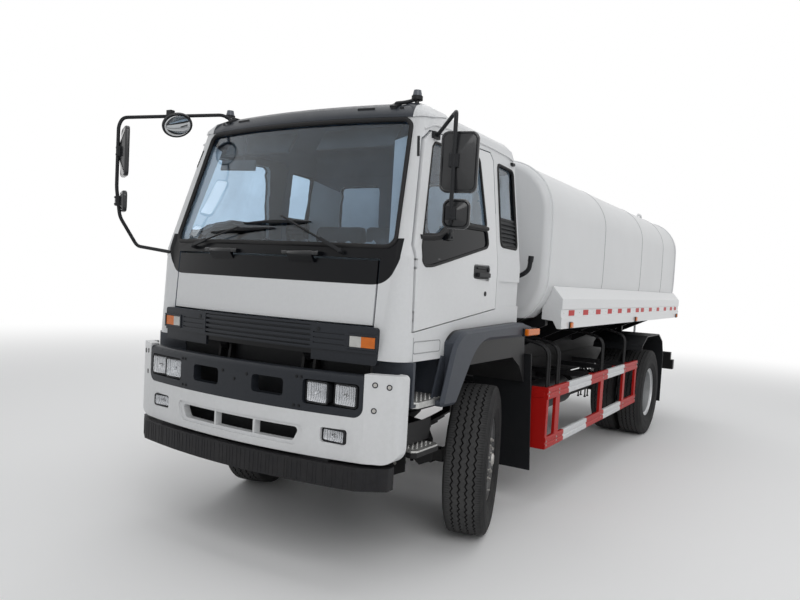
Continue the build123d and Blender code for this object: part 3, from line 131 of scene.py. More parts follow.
def finishPiece(bm, name, material, body, sharp=32, bevel=0.0, segments=2, replaces=(), recalc=True):
    # object made of a bmesh, with its shading, finish and body
    if recalc:
        bmesh.ops.remove_doubles(bm, verts=bm.verts, dist=0.00002)
        bmesh.ops.recalc_face_normals(bm, faces=bm.faces)
    for face in bm.faces:
        face.smooth = True
    limit = math.radians(sharp)
    for edge in bm.edges:
        edge.smooth = len(edge.link_faces) == 2 and edge.calc_face_angle(0.0) < limit
    mesh = bpy.data.meshes.new(name)
    bm.to_mesh(mesh)
    bm.free()
    piece = bpy.data.objects.new(name, mesh)
    bpy.context.scene.collection.objects.link(piece)
    mesh.materials.append(material)
    if bevel:
        addBevel(piece, bevel, segments)
    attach(piece, body)
    if replaces:
        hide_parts(*replaces)


def addBevel(piece, width, segments=2):
    edge = piece.modifiers.new("edges", "BEVEL")
    edge.width = width
    edge.segments = segments
    edge.limit_method = "ANGLE"
    edge.angle_limit = math.radians(32)
    edge.use_clamp_overlap = True
    edge.harden_normals = False
    even = piece.modifiers.new("even", "WEIGHTED_NORMAL")
    even.keep_sharp = False
    even.weight = 60


def newGroup(name, inputs, outputs):
    group = bpy.data.node_groups.new(name, "ShaderNodeTree")
    for label, kind, value in inputs:
        socket = group.interface.new_socket(name=label, in_out="INPUT", socket_type=kind)
        socket.default_value = value
    for label, kind in outputs:
        group.interface.new_socket(name=label, in_out="OUTPUT", socket_type=kind)
    return group, group.nodes.new("NodeGroupInput"), group.nodes.new("NodeGroupOutput")


def addMath(tree, kind, a, b=None, c=None, clamp=False):
    node = tree.nodes.new("ShaderNodeMath")
    node.operation = kind
    node.use_clamp = clamp
    for socket, value in zip(node.inputs, (a, b, c)):
        if value is None:
            continue
        if isinstance(value, bpy.types.NodeSocket):
            tree.links.new(value, socket)
        else:
            socket.default_value = value
    return node.outputs[0]


def addMix(tree, factor, a, b):
    node = tree.nodes.new("ShaderNodeMix")
    node.data_type = "RGBA"
    for socket, value in ((node.inputs[0], factor), (node.inputs[6], a), (node.inputs[7], b)):
        if isinstance(value, bpy.types.NodeSocket):
            tree.links.new(value, socket)
        else:
            socket.default_value = value if socket == node.inputs[0] else (*value[:3], 1.0)
    return node.outputs[2]


def addNoise(tree, vector, scale, detail=3.0):
    node = tree.nodes.new("ShaderNodeTexNoise")
    node.inputs["Scale"].default_value = scale
    node.inputs["Detail"].default_value = detail
    node.inputs["Roughness"].default_value = 0.55
    tree.links.new(vector, node.inputs["Vector"])
    return node.outputs["Fac"]


def addRange(tree, value, low, high, outLow=0.0, outHigh=1.0, smooth=True):
    node = tree.nodes.new("ShaderNodeMapRange")
    node.interpolation_type = "SMOOTHSTEP" if smooth else "LINEAR"
    tree.links.new(value, node.inputs[0])
    for socket, number in zip(list(node.inputs)[1:5], (low, high, outLow, outHigh)):
        socket.default_value = number
    return node.outputs[0]


def scaled(tree, vector, factors):
    node = tree.nodes.new("ShaderNodeMapping")
    node.inputs["Scale"].default_value = factors
    tree.links.new(vector, node.inputs["Vector"])
    return node.outputs["Vector"]


def roadDustGroup():
    # dust that thickens towards the road, broken up by noise and drawn down in faint runs
    group, given, result = newGroup("roadDust", [
        ("Color", "NodeSocketColor", (0.8, 0.8, 0.8, 1)),
        ("Dust Color", "NodeSocketColor", (0.32, 0.29, 0.25, 1)),
        ("Roughness", "NodeSocketFloat", 0.3), ("Amount", "NodeSocketFloat", 0.5), ("Top", "NodeSocketFloat", 1.2)],
        [("Color", "NodeSocketColor"), ("Roughness", "NodeSocketFloat"), ("Mask", "NodeSocketFloat")])
    place = group.nodes.new("ShaderNodeTexCoord").outputs["Object"]
    split = group.nodes.new("ShaderNodeSeparateXYZ")
    group.links.new(place, split.inputs[0])
    height = addMath(group, "DIVIDE", split.outputs["Z"], given.outputs["Top"])
    low = addMath(group, "SUBTRACT", 1.0, height, clamp=True)
    patches = addRange(group, addNoise(group, place, 5.0, 5.0), 0.35, 0.72)
    fine = addRange(group, addNoise(group, place, 60.0, 3.0), 0.3, 0.75)
    runs = addRange(group, addNoise(group, scaled(group, place, (26.0, 26.0, 1.6)), 1.0, 2.0), 0.45, 0.75)
    blotches = addMath(group, "MULTIPLY_ADD", patches, 0.55, addMath(group, "MULTIPLY", runs, 0.25))
    mask = addMath(group, "MULTIPLY", addMath(group, "MULTIPLY_ADD", low, 0.9, 0.10),
                   addMath(group, "MULTIPLY_ADD", blotches, 0.8, addMath(group, "MULTIPLY", fine, 0.2)))
    mask = addMath(group, "MULTIPLY", mask, given.outputs["Amount"], clamp=True)
    group.links.new(addMix(group, mask, given.outputs["Color"], given.outputs["Dust Color"]), result.inputs["Color"])
    rough = addMath(group, "MULTIPLY_ADD", mask, 0.5, given.outputs["Roughness"], clamp=True)
    group.links.new(rough, result.inputs["Roughness"])
    group.links.new(mask, result.inputs["Mask"])
    return group


def fineGrainGroup():
    # two scales of grain: moulded plastic, cast iron, rubber, orange peel
    group, given, result = newGroup("fineGrain", [
        ("Scale", "NodeSocketFloat", 300.0), ("Soft Share", "NodeSocketFloat", 0.5)],
        [("Height", "NodeSocketFloat"), ("Tone", "NodeSocketFloat")])
    place = group.nodes.new("ShaderNodeTexCoord").outputs["Object"]
    vector = group.nodes.new("ShaderNodeVectorMath")
    vector.operation = "SCALE"
    group.links.new(place, vector.inputs[0])
    group.links.new(given.outputs["Scale"], vector.inputs["Scale"])
    small = addNoise(group, vector.outputs[0], 1.0, 2.0)
    large = addNoise(group, vector.outputs[0], 0.11, 3.0)
    height = addMath(group, "ADD", small, addMath(group, "MULTIPLY", large, given.outputs["Soft Share"]))
    group.links.new(height, result.inputs["Height"])
    group.links.new(addRange(group, large, 0.3, 0.7, smooth=False), result.inputs["Tone"])
    return group


roadDust = roadDustGroup()
fineGrain = fineGrainGroup()


def makeMaterial(name, color, roughness=0.4, metallic=0.0, specular=0.5, coat=0.0, dust=0.0, dustTop=1.2,
                 dustColor=(0.30, 0.27, 0.235), grain=0.0, grainScale=300.0, tone=0.08):
    # color is one colour, or a function that makes nodes for several
    material = bpy.data.materials.new(name)
    material.use_nodes = True
    tree = material.node_tree
    shader = tree.nodes["Principled BSDF"]
    grainNode = tree.nodes.new("ShaderNodeGroup")
    grainNode.node_tree = fineGrain
    grainNode.inputs["Scale"].default_value = grainScale
    base = color(tree) if callable(color) else (*color, 1.0)
    lighter = tree.nodes.new("ShaderNodeHueSaturation")
    if isinstance(base, bpy.types.NodeSocket):
        tree.links.new(base, lighter.inputs["Color"])
    else:
        lighter.inputs["Color"].default_value = base
    shade = addMath(tree, "MULTIPLY_ADD", grainNode.outputs["Tone"], tone, 1.0 - tone / 2)
    tree.links.new(shade, lighter.inputs["Value"])
    dustNode = tree.nodes.new("ShaderNodeGroup")
    dustNode.node_tree = roadDust
    tree.links.new(lighter.outputs["Color"], dustNode.inputs["Color"])
    dustNode.inputs["Dust Color"].default_value = (*dustColor, 1.0)
    dustNode.inputs["Amount"].default_value = dust
    dustNode.inputs["Top"].default_value = dustTop
    dustNode.inputs["Roughness"].default_value = roughness
    tree.links.new(dustNode.outputs["Color"], shader.inputs["Base Color"])
    tree.links.new(dustNode.outputs["Roughness"], shader.inputs["Roughness"])
    shader.inputs["Metallic"].default_value = metallic
    shader.inputs["Specular IOR Level"].default_value = specular
    shader.inputs["Coat Weight"].default_value = coat
    shader.inputs["Coat Roughness"].default_value = 0.06
    if grain:
        bump = tree.nodes.new("ShaderNodeBump")
        bump.inputs["Distance"].default_value = grain
        bump.inputs["Strength"].default_value = 0.7
        tree.links.new(grainNode.outputs["Height"], bump.inputs["Height"])
        tree.links.new(bump.outputs["Normal"], shader.inputs["Normal"])
    return material


def objectPlace(tree):
    split = tree.nodes.new("ShaderNodeSeparateXYZ")
    tree.links.new(tree.nodes.new("ShaderNodeTexCoord").outputs["Object"], split.inputs[0])
    return split.outputs


whitePaint = (0.66, 0.67, 0.68)
blackGloss = (0.0035, 0.0040, 0.0055)


def bandPaintAndShade(tree):
    # black upper band: its lower edge is level across the front and sweeps up at the corners
    x, y, z = objectPlace(tree)
    side = addMath(tree, "ABSOLUTE", y)
    past = addMath(tree, "MAXIMUM", addMath(tree, "SUBTRACT", side, 0.74), 0.0)
    edge = addMath(tree, "MULTIPLY_ADD", addMath(tree, "POWER", past, 4.0), 60.0, 1.726)
    above = addRange(tree, addMath(tree, "SUBTRACT", z, edge), -0.0008, 0.0008)
    front = addRange(tree, x, axleX + 1.02, axleX + 1.022)
    front = addMath(tree, "MULTIPLY", front, addRange(tree, side, 0.967, 0.966))
    mask = addMath(tree, "MULTIPLY", addMath(tree, "MULTIPLY", above, front), addRange(tree, z, 2.000, 1.998))
    # the sill behind the grille's lip is painted black as well: painted shade under the lip
    shadeUnderLip = addMath(tree, "MULTIPLY", addRange(tree, z, 1.345, 1.340), addRange(tree, side, 0.884, 0.880))
    shadeUnderLip = addMath(tree, "MULTIPLY", shadeUnderLip, addRange(tree, x, axleX + 0.9, axleX + 0.91))
    return addMix(tree, addMath(tree, "MAXIMUM", mask, shadeUnderLip), whitePaint, blackGloss)


def visorColors(tree):
    # the dark strip stops at the corners of the roof
    y = objectPlace(tree)[1]
    ends = addRange(tree, addMath(tree, "ABSOLUTE", y), 0.846, 0.847)
    return addMix(tree, ends, (0.036, 0.041, 0.050), whitePaint)


def archColors(tree):
    # grey moulded flare, black wheel house inside it
    x, y = objectPlace(tree)[:2]
    side = addMath(tree, "ABSOLUTE", y)
    inside = addMath(tree, "MULTIPLY", addRange(tree, side, 1.072, 1.068),
                     addRange(tree, x, axleX + 0.655, axleX + 0.645))
    return addMix(tree, inside, (0.045, 0.052, 0.066), (0.010, 0.010, 0.011))


def tankColorsAndShade(tree):
    # white shell, painted near black below the skirts: painted shade under them
    z = objectPlace(tree)[2]
    return addMix(tree, addRange(tree, z, 1.512, 1.505), (0.64, 0.65, 0.66), (0.006, 0.006, 0.006))


cameraSet = {  # degrees and millimetres of lens
    "place": (6.756, 3.027, 1.772), "yaw": 210.74, "pitch": -3.01, "roll": 3.22,
    "lens": 30.563, "shiftX": -0.02235, "shiftY": 0.01889}
stageSet = {"color": (0.93, 0.93, 0.93, 1), "plainTo": 6.0, "whiteFrom": 16.0, "radius": 60.0}
worldSet = {"strength": 0.50, "low": (0.62, 0.63, 0.64), "high": (0.98, 0.99, 1.0)}


def placeCamera(given):
    yaw, pitch, roll = (math.radians(given[k]) for k in ("yaw", "pitch", "roll"))
    ahead = Vector((math.cos(yaw) * math.cos(pitch), math.sin(yaw) * math.cos(pitch), math.sin(pitch)))
    right = ahead.cross(Vector((0, 0, 1))).normalized()
    up = right.cross(ahead)
    tiltedRight = right * math.cos(roll) + up * math.sin(roll)
    tiltedUp = up * math.cos(roll) - right * math.sin(roll)
    lens = bpy.data.cameras.new("camera")
    lens.sensor_width = 36.0
    lens.lens = given["lens"]
    lens.shift_x = given["shiftX"]
    lens.shift_y = given["shiftY"]
    lens.clip_end = 200.0
    camera = bpy.data.objects.new("camera", lens)
    turn = Matrix((tiltedRight, tiltedUp, -ahead)).transposed().to_4x4()
    camera.matrix_world = Matrix.Translation(given["place"]) @ turn
    bpy.context.scene.collection.objects.link(camera)
    bpy.context.scene.camera = camera


def makeStage():
    bm = bmesh.new()
    bmesh.ops.create_circle(bm, cap_ends=True, segments=96, radius=stageSet["radius"])
    mesh = bpy.data.meshes.new("floor")
    bm.to_mesh(mesh)
    bm.free()
    floor = bpy.data.objects.new("floor", mesh)
    bpy.context.scene.collection.objects.link(floor)
    material = bpy.data.materials.new("floorPale")
    material.use_nodes = True
    tree = material.node_tree
    shader = tree.nodes["Principled BSDF"]
    shader.inputs["Base Color"].default_value = stageSet["color"]
    shader.inputs["Roughness"].default_value = 0.9
    # far from the truck the floor turns to plain white, so no horizon shows
    distance = tree.nodes.new("ShaderNodeVectorMath")
    distance.operation = "LENGTH"
    tree.links.new(tree.nodes.new("ShaderNodeTexCoord").outputs["Object"], distance.inputs[0])
    white = tree.nodes.new("ShaderNodeEmission")
    white.inputs["Color"].default_value = (1, 1, 1, 1)
    blend = tree.nodes.new("ShaderNodeMixShader")
    far = addRange(tree, distance.outputs["Value"], stageSet["plainTo"], stageSet["whiteFrom"])
    tree.links.new(far, blend.inputs[0])
    tree.links.new(shader.outputs[0], blend.inputs[1])
    tree.links.new(white.outputs[0], blend.inputs[2])
    tree.links.new(blend.outputs[0], tree.nodes["Material Output"].inputs["Surface"])
    mesh.materials.append(material)


def makeWorld():
    # sky light on the truck, plain white to the camera, in glass and in metal
    strength = worldSet["strength"]
    world = bpy.data.worlds.new("studio")
    world.use_nodes = True
    tree = world.node_tree
    back = tree.nodes["Background"]
    rays = tree.nodes.new("ShaderNodeLightPath")
    place = tree.nodes.new("ShaderNodeSeparateXYZ")
    tree.links.new(tree.nodes.new("ShaderNodeTexCoord").outputs["Generated"], place.inputs[0])
    sky = addRange(tree, place.outputs["Z"], -0.15, 0.75)
    color = addMix(tree, sky, worldSet["low"], worldSet["high"])
    shown = addMath(tree, "MAXIMUM", rays.outputs["Is Camera Ray"], rays.outputs["Is Transmission Ray"])
    shown = addMath(tree, "MAXIMUM", shown, rays.outputs["Is Glossy Ray"])
    tree.links.new(addMath(tree, "MULTIPLY_ADD", shown, 1.0 - strength, strength), back.inputs["Strength"])
    tree.links.new(addMix(tree, shown, color, (1, 1, 1)), back.inputs["Color"])
    bpy.context.scene.world = world


lightSet = (  # name, place, aimed at, size, power
    ("keyLamp", (9.0, 6.5, 8.0), (1.0, 0.0, 1.4), 6.0, 290),
    ("sideLamp", (-1.0, 11.0, 6.0), (-1.5, 0.0, 1.5), 7.0, 42),
    ("backLamp", (-8.0, -7.0, 7.0), (0.0, 0.0, 1.5), 6.0, 160),
    ("topLamp", (0.0, 0.0, 9.5), (0.0, 0.0, 0.0), 9.0, 220))


def placeLamps():
    for name, place, target, size, power in lightSet:
        light = bpy.data.lights.new(name, "AREA")
        light.size = size
        light.energy = power
        lamp = bpy.data.objects.new(name, light)
        lamp.matrix_world = Matrix.Translation(place) @ aimZ(Vector(place) - Vector(target))
        bpy.context.scene.collection.objects.link(lamp)


placeCamera(cameraSet)
makeStage()
makeWorld()
placeLamps()
bpy.context.scene.view_settings.view_transform = "Standard"
print("camera, stage and lamps placed")


def guardBands(tree):
    # red and white bands along both rails, the posts all red
    x, y, z = objectPlace(tree)
    along = addMath(tree, "SUBTRACT", x, axleX)
    lowRail = addRange(tree, z, 0.70, 0.72, 0.075, 0.0)
    shifted = addMath(tree, "SUBTRACT", along, lowRail)
    mask = 0.0
    for start, end in ((-1.365, -2.027), (-2.597, -3.26)):
        share = addMath(tree, "MULTIPLY", addRange(tree, shifted, start + 0.001, start - 0.001),
                        addRange(tree, shifted, end - 0.001, end + 0.001))
        mask = addMath(tree, "ADD", mask, share)
    middle = addMath(tree, "ABSOLUTE", addMath(tree, "SUBTRACT", z, 0.715))
    mask = addMath(tree, "MULTIPLY", mask, addRange(tree, middle, 0.146, 0.149))
    outer = addRange(tree, addMath(tree, "ABSOLUTE", y), 1.055, 1.06)
    red = addMix(tree, mask, (0.42, 0.008, 0.006), whitePaint)
    return addMix(tree, outer, (0.02, 0.02, 0.022), red)


def lampGlassColors(tree):
    # turn lamps: clear inner part, amber outer part; roof lamps: smoked dome on a black foot
    y, z = objectPlace(tree)[1:]
    side = addMath(tree, "ABSOLUTE", y)
    amber = addRange(tree, side, 0.789, 0.791)
    lens = addMix(tree, amber, (0.50, 0.50, 0.48), (0.62, 0.14, 0.004))
    dome = addRange(tree, z, 2.0, 2.1)
    foot = addRange(tree, z, 2.882, 2.885)
    return addMix(tree, dome, lens, addMix(tree, foot, (0.015, 0.015, 0.016), (0.10, 0.11, 0.13)))


finish = {
    "paint": makeMaterial(
        "whitePaint", whitePaint, roughness=0.30, coat=0.3, dust=0.10, dustTop=1.6, grain=0.00012,
        grainScale=420, tone=0.03),
    "bandPaintAndShade": makeMaterial(
        "bandPaintAndShade", bandPaintAndShade, roughness=0.28, specular=0.16, coat=0.04, dust=0.06, dustTop=1.6,
        grain=0.0001, grainScale=420, tone=0.03),
    "tankPaintAndShade": makeMaterial(
        "tankPaintAndShade", tankColorsAndShade, roughness=0.30, specular=0.3, coat=0.08, dust=0.10, dustTop=2.2,
        grain=0.0006, grainScale=18, tone=0.04),
    "bumperWhite": makeMaterial(
        "bumperWhite", whitePaint, roughness=0.42, coat=0.15, dust=0.22, dustTop=1.4, grain=0.0002,
        grainScale=380, tone=0.04),
    "darkPlastic": makeMaterial(
        "darkPlastic", (0.019, 0.022, 0.028), roughness=0.34, specular=0.22, dust=0.07, dustTop=1.7,
        dustColor=(0.18, 0.17, 0.155), grain=0.0003, grainScale=900, tone=0.18),
    "archPlastic": makeMaterial(
        "archPlastic", archColors, roughness=0.38, specular=0.25, dust=0.14, dustTop=1.9,
        dustColor=(0.20, 0.19, 0.175), grain=0.0004, grainScale=800, tone=0.15),
    "blackPlastic": makeMaterial(
        "blackPlastic", (0.013, 0.014, 0.016), roughness=0.42, specular=0.2, dust=0.08, dustTop=1.8,
        dustColor=(0.14, 0.13, 0.115), grain=0.0003, grainScale=1000, tone=0.2),
    "mirrorBlack": makeMaterial(
        "mirrorBlack", (0.013, 0.014, 0.016), roughness=0.24, specular=0.3, coat=0.3, dust=0.05,
        dustTop=3.2, grain=0.0002, grainScale=900, tone=0.15),
    "visor": makeMaterial(
        "visorColors", visorColors, roughness=0.34, specular=0.22, dust=0.06, dustTop=3.0, grain=0.0003,
        grainScale=900, tone=0.15),
    "blackGloss": makeMaterial(
        "blackGloss", blackGloss, roughness=0.12, specular=0.4, coat=0.8, dust=0.02, tone=0.1),
    "rubber": makeMaterial(
        "sealRubber", (0.014, 0.014, 0.015), roughness=0.55, specular=0.2, dust=0.12, dustTop=2.2,
        grain=0.0003, grainScale=700, tone=0.25),
    "barRubber": makeMaterial(
        "barRubber", (0.014, 0.014, 0.016), roughness=0.5, specular=0.2, dust=0.16, dustTop=1.3,
        dustColor=(0.13, 0.12, 0.105), grain=0.0008, grainScale=260, tone=0.3),
    "tyre": makeMaterial(
        "tyreRubber", (0.027, 0.027, 0.029), roughness=0.7, specular=0.15, dust=0.45, dustTop=1.5,
        dustColor=(0.17, 0.165, 0.155), grain=0.0006, grainScale=500, tone=0.3),
    "chassis": makeMaterial(
        "chassisBlack", (0.010, 0.010, 0.011), roughness=0.40, specular=0.2, dust=0.12, dustTop=1.6,
        dustColor=(0.10, 0.092, 0.08), grain=0.0006, grainScale=240, tone=0.3),
    "cast": makeMaterial(
        "castIron", (0.022, 0.022, 0.023), roughness=0.55, specular=0.2, dust=0.3, dustTop=1.5,
        dustColor=(0.11, 0.10, 0.088), grain=0.0016, grainScale=160, tone=0.35),
    "engineIron": makeMaterial(
        "engineIron", (0.10, 0.105, 0.11), roughness=0.55, metallic=0.3, dust=0.4, dustTop=1.7,
        dustColor=(0.16, 0.145, 0.125), grain=0.0016, grainScale=160, tone=0.3),
    "rimDark": makeMaterial(
        "rimDark", (0.05, 0.052, 0.056), roughness=0.42, dust=0.4, dustTop=1.5, grain=0.0004,
        grainScale=300, tone=0.2),
    "rimSilver": makeMaterial(
        "rimSilver", (0.50, 0.51, 0.52), roughness=0.36, metallic=0.75, dust=0.25, dustTop=1.4,
        grain=0.0004, grainScale=300, tone=0.1),
    "steel": makeMaterial(
        "boltSteel", (0.45, 0.44, 0.42), roughness=0.38, metallic=0.9, dust=0.2, dustTop=1.4, grain=0.0002,
        grainScale=600, tone=0.25),
    "alloy": makeMaterial(
        "stepAlloy", (0.52, 0.52, 0.51), roughness=0.42, metallic=0.85, dust=0.3, dustTop=1.5, grain=0.0003,
        grainScale=500, tone=0.2),
    "galvanised": makeMaterial(
        "zincSteel", (0.40, 0.40, 0.39), roughness=0.5, metallic=0.6, dust=0.3, dustTop=1.5, grain=0.0005,
        grainScale=180, tone=0.35),
    "guard": makeMaterial(
        "guardPaint", guardBands, roughness=0.40, specular=0.22, dust=0.03, dustTop=1.4, grain=0.0002,
        grainScale=300, tone=0.06),
    "seamGrey": makeMaterial(
        "seamGrey", (0.32, 0.33, 0.34), roughness=0.5, dust=0.15, dustTop=2.6, grain=0.0004, grainScale=260,
        tone=0.15),
    "red": makeMaterial(
        "reflectorRed", (0.50, 0.008, 0.008), roughness=0.4, specular=0.15, grain=0.0006, grainScale=420,
        tone=0.15),
    "amber": makeMaterial(
        "lensAmber", (0.62, 0.14, 0.004), roughness=0.18, specular=0.25, coat=0.12, grain=0.0008,
        grainScale=220, tone=0.2),
    "lampColors": makeMaterial(
        "turnLamps", lampGlassColors, roughness=0.2, specular=0.3, coat=0.15, grain=0.0008, grainScale=220,
        tone=0.2),
    "cabinPlastic": makeMaterial(
        "cabinPlastic", (0.09, 0.095, 0.10), roughness=0.6, grain=0.0005, grainScale=700, tone=0.15),
    # the lining is dark blue-grey in place of its own pale grey: painted shade of the cab's inside
    "shadedCabinLining": makeMaterial(
        "shadedCabinLining", (0.085, 0.115, 0.155), roughness=0.75, grain=0.0001, grainScale=500, tone=0.12),
    "cloth": makeMaterial(
        "seatCloth", (0.10, 0.105, 0.115), roughness=0.9, grain=0.0012, grainScale=420, tone=0.3),
    "blackPane": makeMaterial(
        "blackPane", (0.003, 0.004, 0.006), roughness=0.07, specular=0.16, tone=0.02),
    "mirror": makeMaterial(
        "mirrorGlass", (0.85, 0.87, 0.88), roughness=0.03, metallic=1.0, tone=0.01),
    "reflector": makeMaterial(
        "lampReflector", (0.56, 0.57, 0.59), roughness=0.16, metallic=1.0, tone=0.1),
}


def makeGlass(name, tint):
    # clear glass with a faint uneven film
    material = bpy.data.materials.new(name)
    material.use_nodes = True
    tree = material.node_tree
    shader = tree.nodes["Principled BSDF"]
    shader.inputs["Roughness"].default_value = 0.0
    shader.inputs["Metallic"].default_value = 0.0
    shader.inputs["IOR"].default_value = 1.45
    shader.inputs["Transmission Weight"].default_value = 1.0
    place = tree.nodes.new("ShaderNodeTexCoord").outputs["Object"]
    film = addRange(tree, addNoise(tree, place, 3.0, 4.0), 0.3, 0.75)
    clearer = tuple(min(1.0, c * 1.12 + 0.01) for c in tint)
    tree.links.new(addMix(tree, film, tint, clearer), shader.inputs["Base Color"])
    return material


finish["glass"] = makeGlass("windowGlass", (0.58, 0.69, 0.79))
finish["lens"] = makeGlass("lampGlass", (0.96, 0.97, 0.98))


def dress(node, material, bevel):
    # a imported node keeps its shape: it is welded, its edges are eased and its shading evened
    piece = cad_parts[node]
    piece.data.materials.clear()
    piece.data.materials.append(finish[material])
    for polygon in piece.data.polygons:
        polygon.material_index = 0
        polygon.use_smooth = True
    weld = piece.modifiers.new("weld", "WELD")
    weld.merge_threshold = 0.00002
    if bevel:
        addBevel(piece, bevel)
    else:
        even = piece.modifiers.new("even", "WEIGHTED_NORMAL")
        even.keep_sharp = False


nodeFinishes = (  # node, finish, eased edge
    ("cab_shell", "bandPaintAndShade", 0.005), ("service_panel", "bandPaintAndShade", 0.004), ("cab_glass", "glass", 0.0),
    ("door_left", "paint", 0.004), ("door_right", "paint", 0.004), ("door_glass_left", "glass", 0.0),
    ("door_glass_right", "glass", 0.0), ("grille", "darkPlastic", 0.002), ("cab_lamps", "lampColors", 0.002),
    ("roof_visor", "visor", 0.002), ("wheel_arches", "archPlastic", 0.006), ("dashboard", "cabinPlastic", 0.006),
    ("seats", "cloth", 0.03), ("mirror_left", "blackPlastic", 0.004), ("mirror_right", "blackPlastic", 0.004),
    ("frame", "chassis", 0.003), ("front_springs", "chassis", 0.002), ("rear_springs", "chassis", 0.002),
    ("front_axle", "cast", 0.006), ("rear_axle", "cast", 0.006), ("engine", "engineIron", 0.02),
    ("propshaft", "chassis", 0.002),
    ("knuckle_left", "cast", 0.003), ("knuckle_right", "cast", 0.003), ("tie_rod", "chassis", 0.002),
    ("tyre_front_left", "tyre", 0.0), ("tyre_front_right", "tyre", 0.0), ("rim_front_left", "rimDark", 0.002),
    ("rim_front_right", "rimDark", 0.002), ("tyres_rear_left", "tyre", 0.0), ("tyres_rear_right", "tyre", 0.0),
    ("rims_rear_left", "rimSilver", 0.002), ("rims_rear_right", "rimSilver", 0.002), ("bumper", "bumperWhite", 0.006),
    ("bumper_band", "darkPlastic", 0.004), ("front_lamps", "blackPlastic", 0.002), ("rubber_bar", "barRubber", 0.006),
    ("lower_steps", "chassis", 0.003), ("mudguards", "blackPlastic", 0.003), ("tank", "tankPaintAndShade", 0.0),
    ("tank_cradle", "chassis", 0.003), ("tank_skirts", "paint", 0.003), ("tank_top", "galvanised", 0.003),
    ("tank_lid", "tankPaintAndShade", 0.003), ("side_guards", "guard", 0.003), ("fuel_tank", "chassis", 0.006),
    ("air_reservoirs", "chassis", 0.003), ("rear_bumper", "chassis", 0.003), ("ladder", "paint", 0.0),
    ("outlet", "steel", 0.002))
for node, material, ease in nodeFinishes:
    dress(node, material, ease)
print("packed nodes dressed")


def mergedCopy(node):
    bm = bmesh.new()
    bm.from_mesh(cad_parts[node].data)
    bmesh.ops.remove_doubles(bm, verts=bm.verts, dist=0.00002)
    bm.normal_update()
    return bm


def keepFaces(bm, test):
    gone = [face for face in bm.faces if not test(face)]
    bmesh.ops.delete(bm, geom=gone, context="FACES")


def faceIslands(bm):
    # groups of faces that hang together
    left, groups = set(bm.faces), []
    while left:
        stack, group = [left.pop()], []
        while stack:
            face = stack.pop()
            group.append(face)
            for edge in face.edges:
                for near in edge.link_faces:
                    if near in left:
                        left.discard(near)
                        stack.append(near)
        groups.append(group)
    return groups


def walkLoop(edges):
    # takes one closed run out of a set of edges and gives its points
    edge = min(edges, key=lambda one: one.index)
    edges.discard(edge)
    first, here = edge.verts
    path = [first.co.copy()]
    while here != first:
        path.append(here.co.copy())
        edge = next((e for e in here.link_edges if e in edges), None)
        if edge is None:
            break
        edges.discard(edge)
        here = edge.other_vert(here)
    return path


def rimLoops(bm, test):
    # closed paths round the patches of faces that pass the test, straight runs reduced to their ends
    side = {face for face in bm.faces if test(face)}
    bm.edges.index_update()
    edges = {edge for edge in bm.edges if sum(face in side for face in edge.link_faces) == 1}
    loops = []
    while edges:
        path = walkLoop(edges)
        changed = True
        while changed and len(path) > 4:
            changed = False
            for i in range(len(path)):
                a, b, c = path[i - 1], path[i], path[(i + 1) % len(path)]
                if (b - a).length < 0.002 or (b - a).angle(c - b, 0.0) < 0.012:
                    del path[i]
                    changed = True
                    break
        loops.append(path)
    return loops


def roundLoop(points, bend):
    # closed path with rounded corners
    steps, path = 5, []
    for i, corner in enumerate(points):
        before, after = points[i - 1], points[(i + 1) % len(points)]
        if (corner - before).angle(after - corner, 0.0) < 0.15:
            path.append(corner)
            continue
        reach = min(bend, (corner - before).length * 0.45, (after - corner).length * 0.45)
        a = corner + (before - corner).normalized() * reach
        b = corner + (after - corner).normalized() * reach
        path += [a.lerp(corner, i / steps).lerp(corner.lerp(b, i / steps), i / steps) for i in range(steps + 1)]
    return path


def hitOn(node, origin, direction, lift=0.0):
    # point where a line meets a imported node, lifted off along the surface's normal
    hit, place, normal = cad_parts[node].ray_cast(Vector(origin), Vector(direction).normalized())[:3]
    if not hit:
        raise ValueError(f"no surface of {node} from {origin}")
    return place + normal * lift, normal


def at(x, y, z):
    # place measured from the front axle
    return Vector((axleX + x, y, z))


def frontOn(node, y, z, lift=0.0):
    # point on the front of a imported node
    return hitOn(node, at(1.6, y, z), (-1, 0, 0), lift)


def sideOn(node, side, x, z, lift=0.0):
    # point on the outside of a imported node
    return hitOn(node, at(x, side * 1.6, z), (0, -side, 0), lift)


sealSet = {"screen": 0.015, "door": 0.009, "quarter": 0.011, "rear": 0.011, "bend": 0.045}


def addSeals(name, node, test, radius, outward, body, bend, lift):
    # rubber round the panes that pass the test
    bm = mergedCopy(node)
    loops = rimLoops(bm, test)
    bm.free()
    seal = bmesh.new()
    for loop in loops:
        path = [p + Vector(outward) * lift for p in roundLoop(loop, bend)]
        addTube(seal, path, radius, sides=3, closed=True)
    finishPiece(seal, name, finish["rubber"], body, sharp=50)


def frontGlass(face):
    return face.calc_center_median().x > axleX + 0.5 and face.normal.x > 0.5


def rearGlass(face):
    return face.calc_center_median().x < axleX - 0.35 and face.normal.x < -0.5


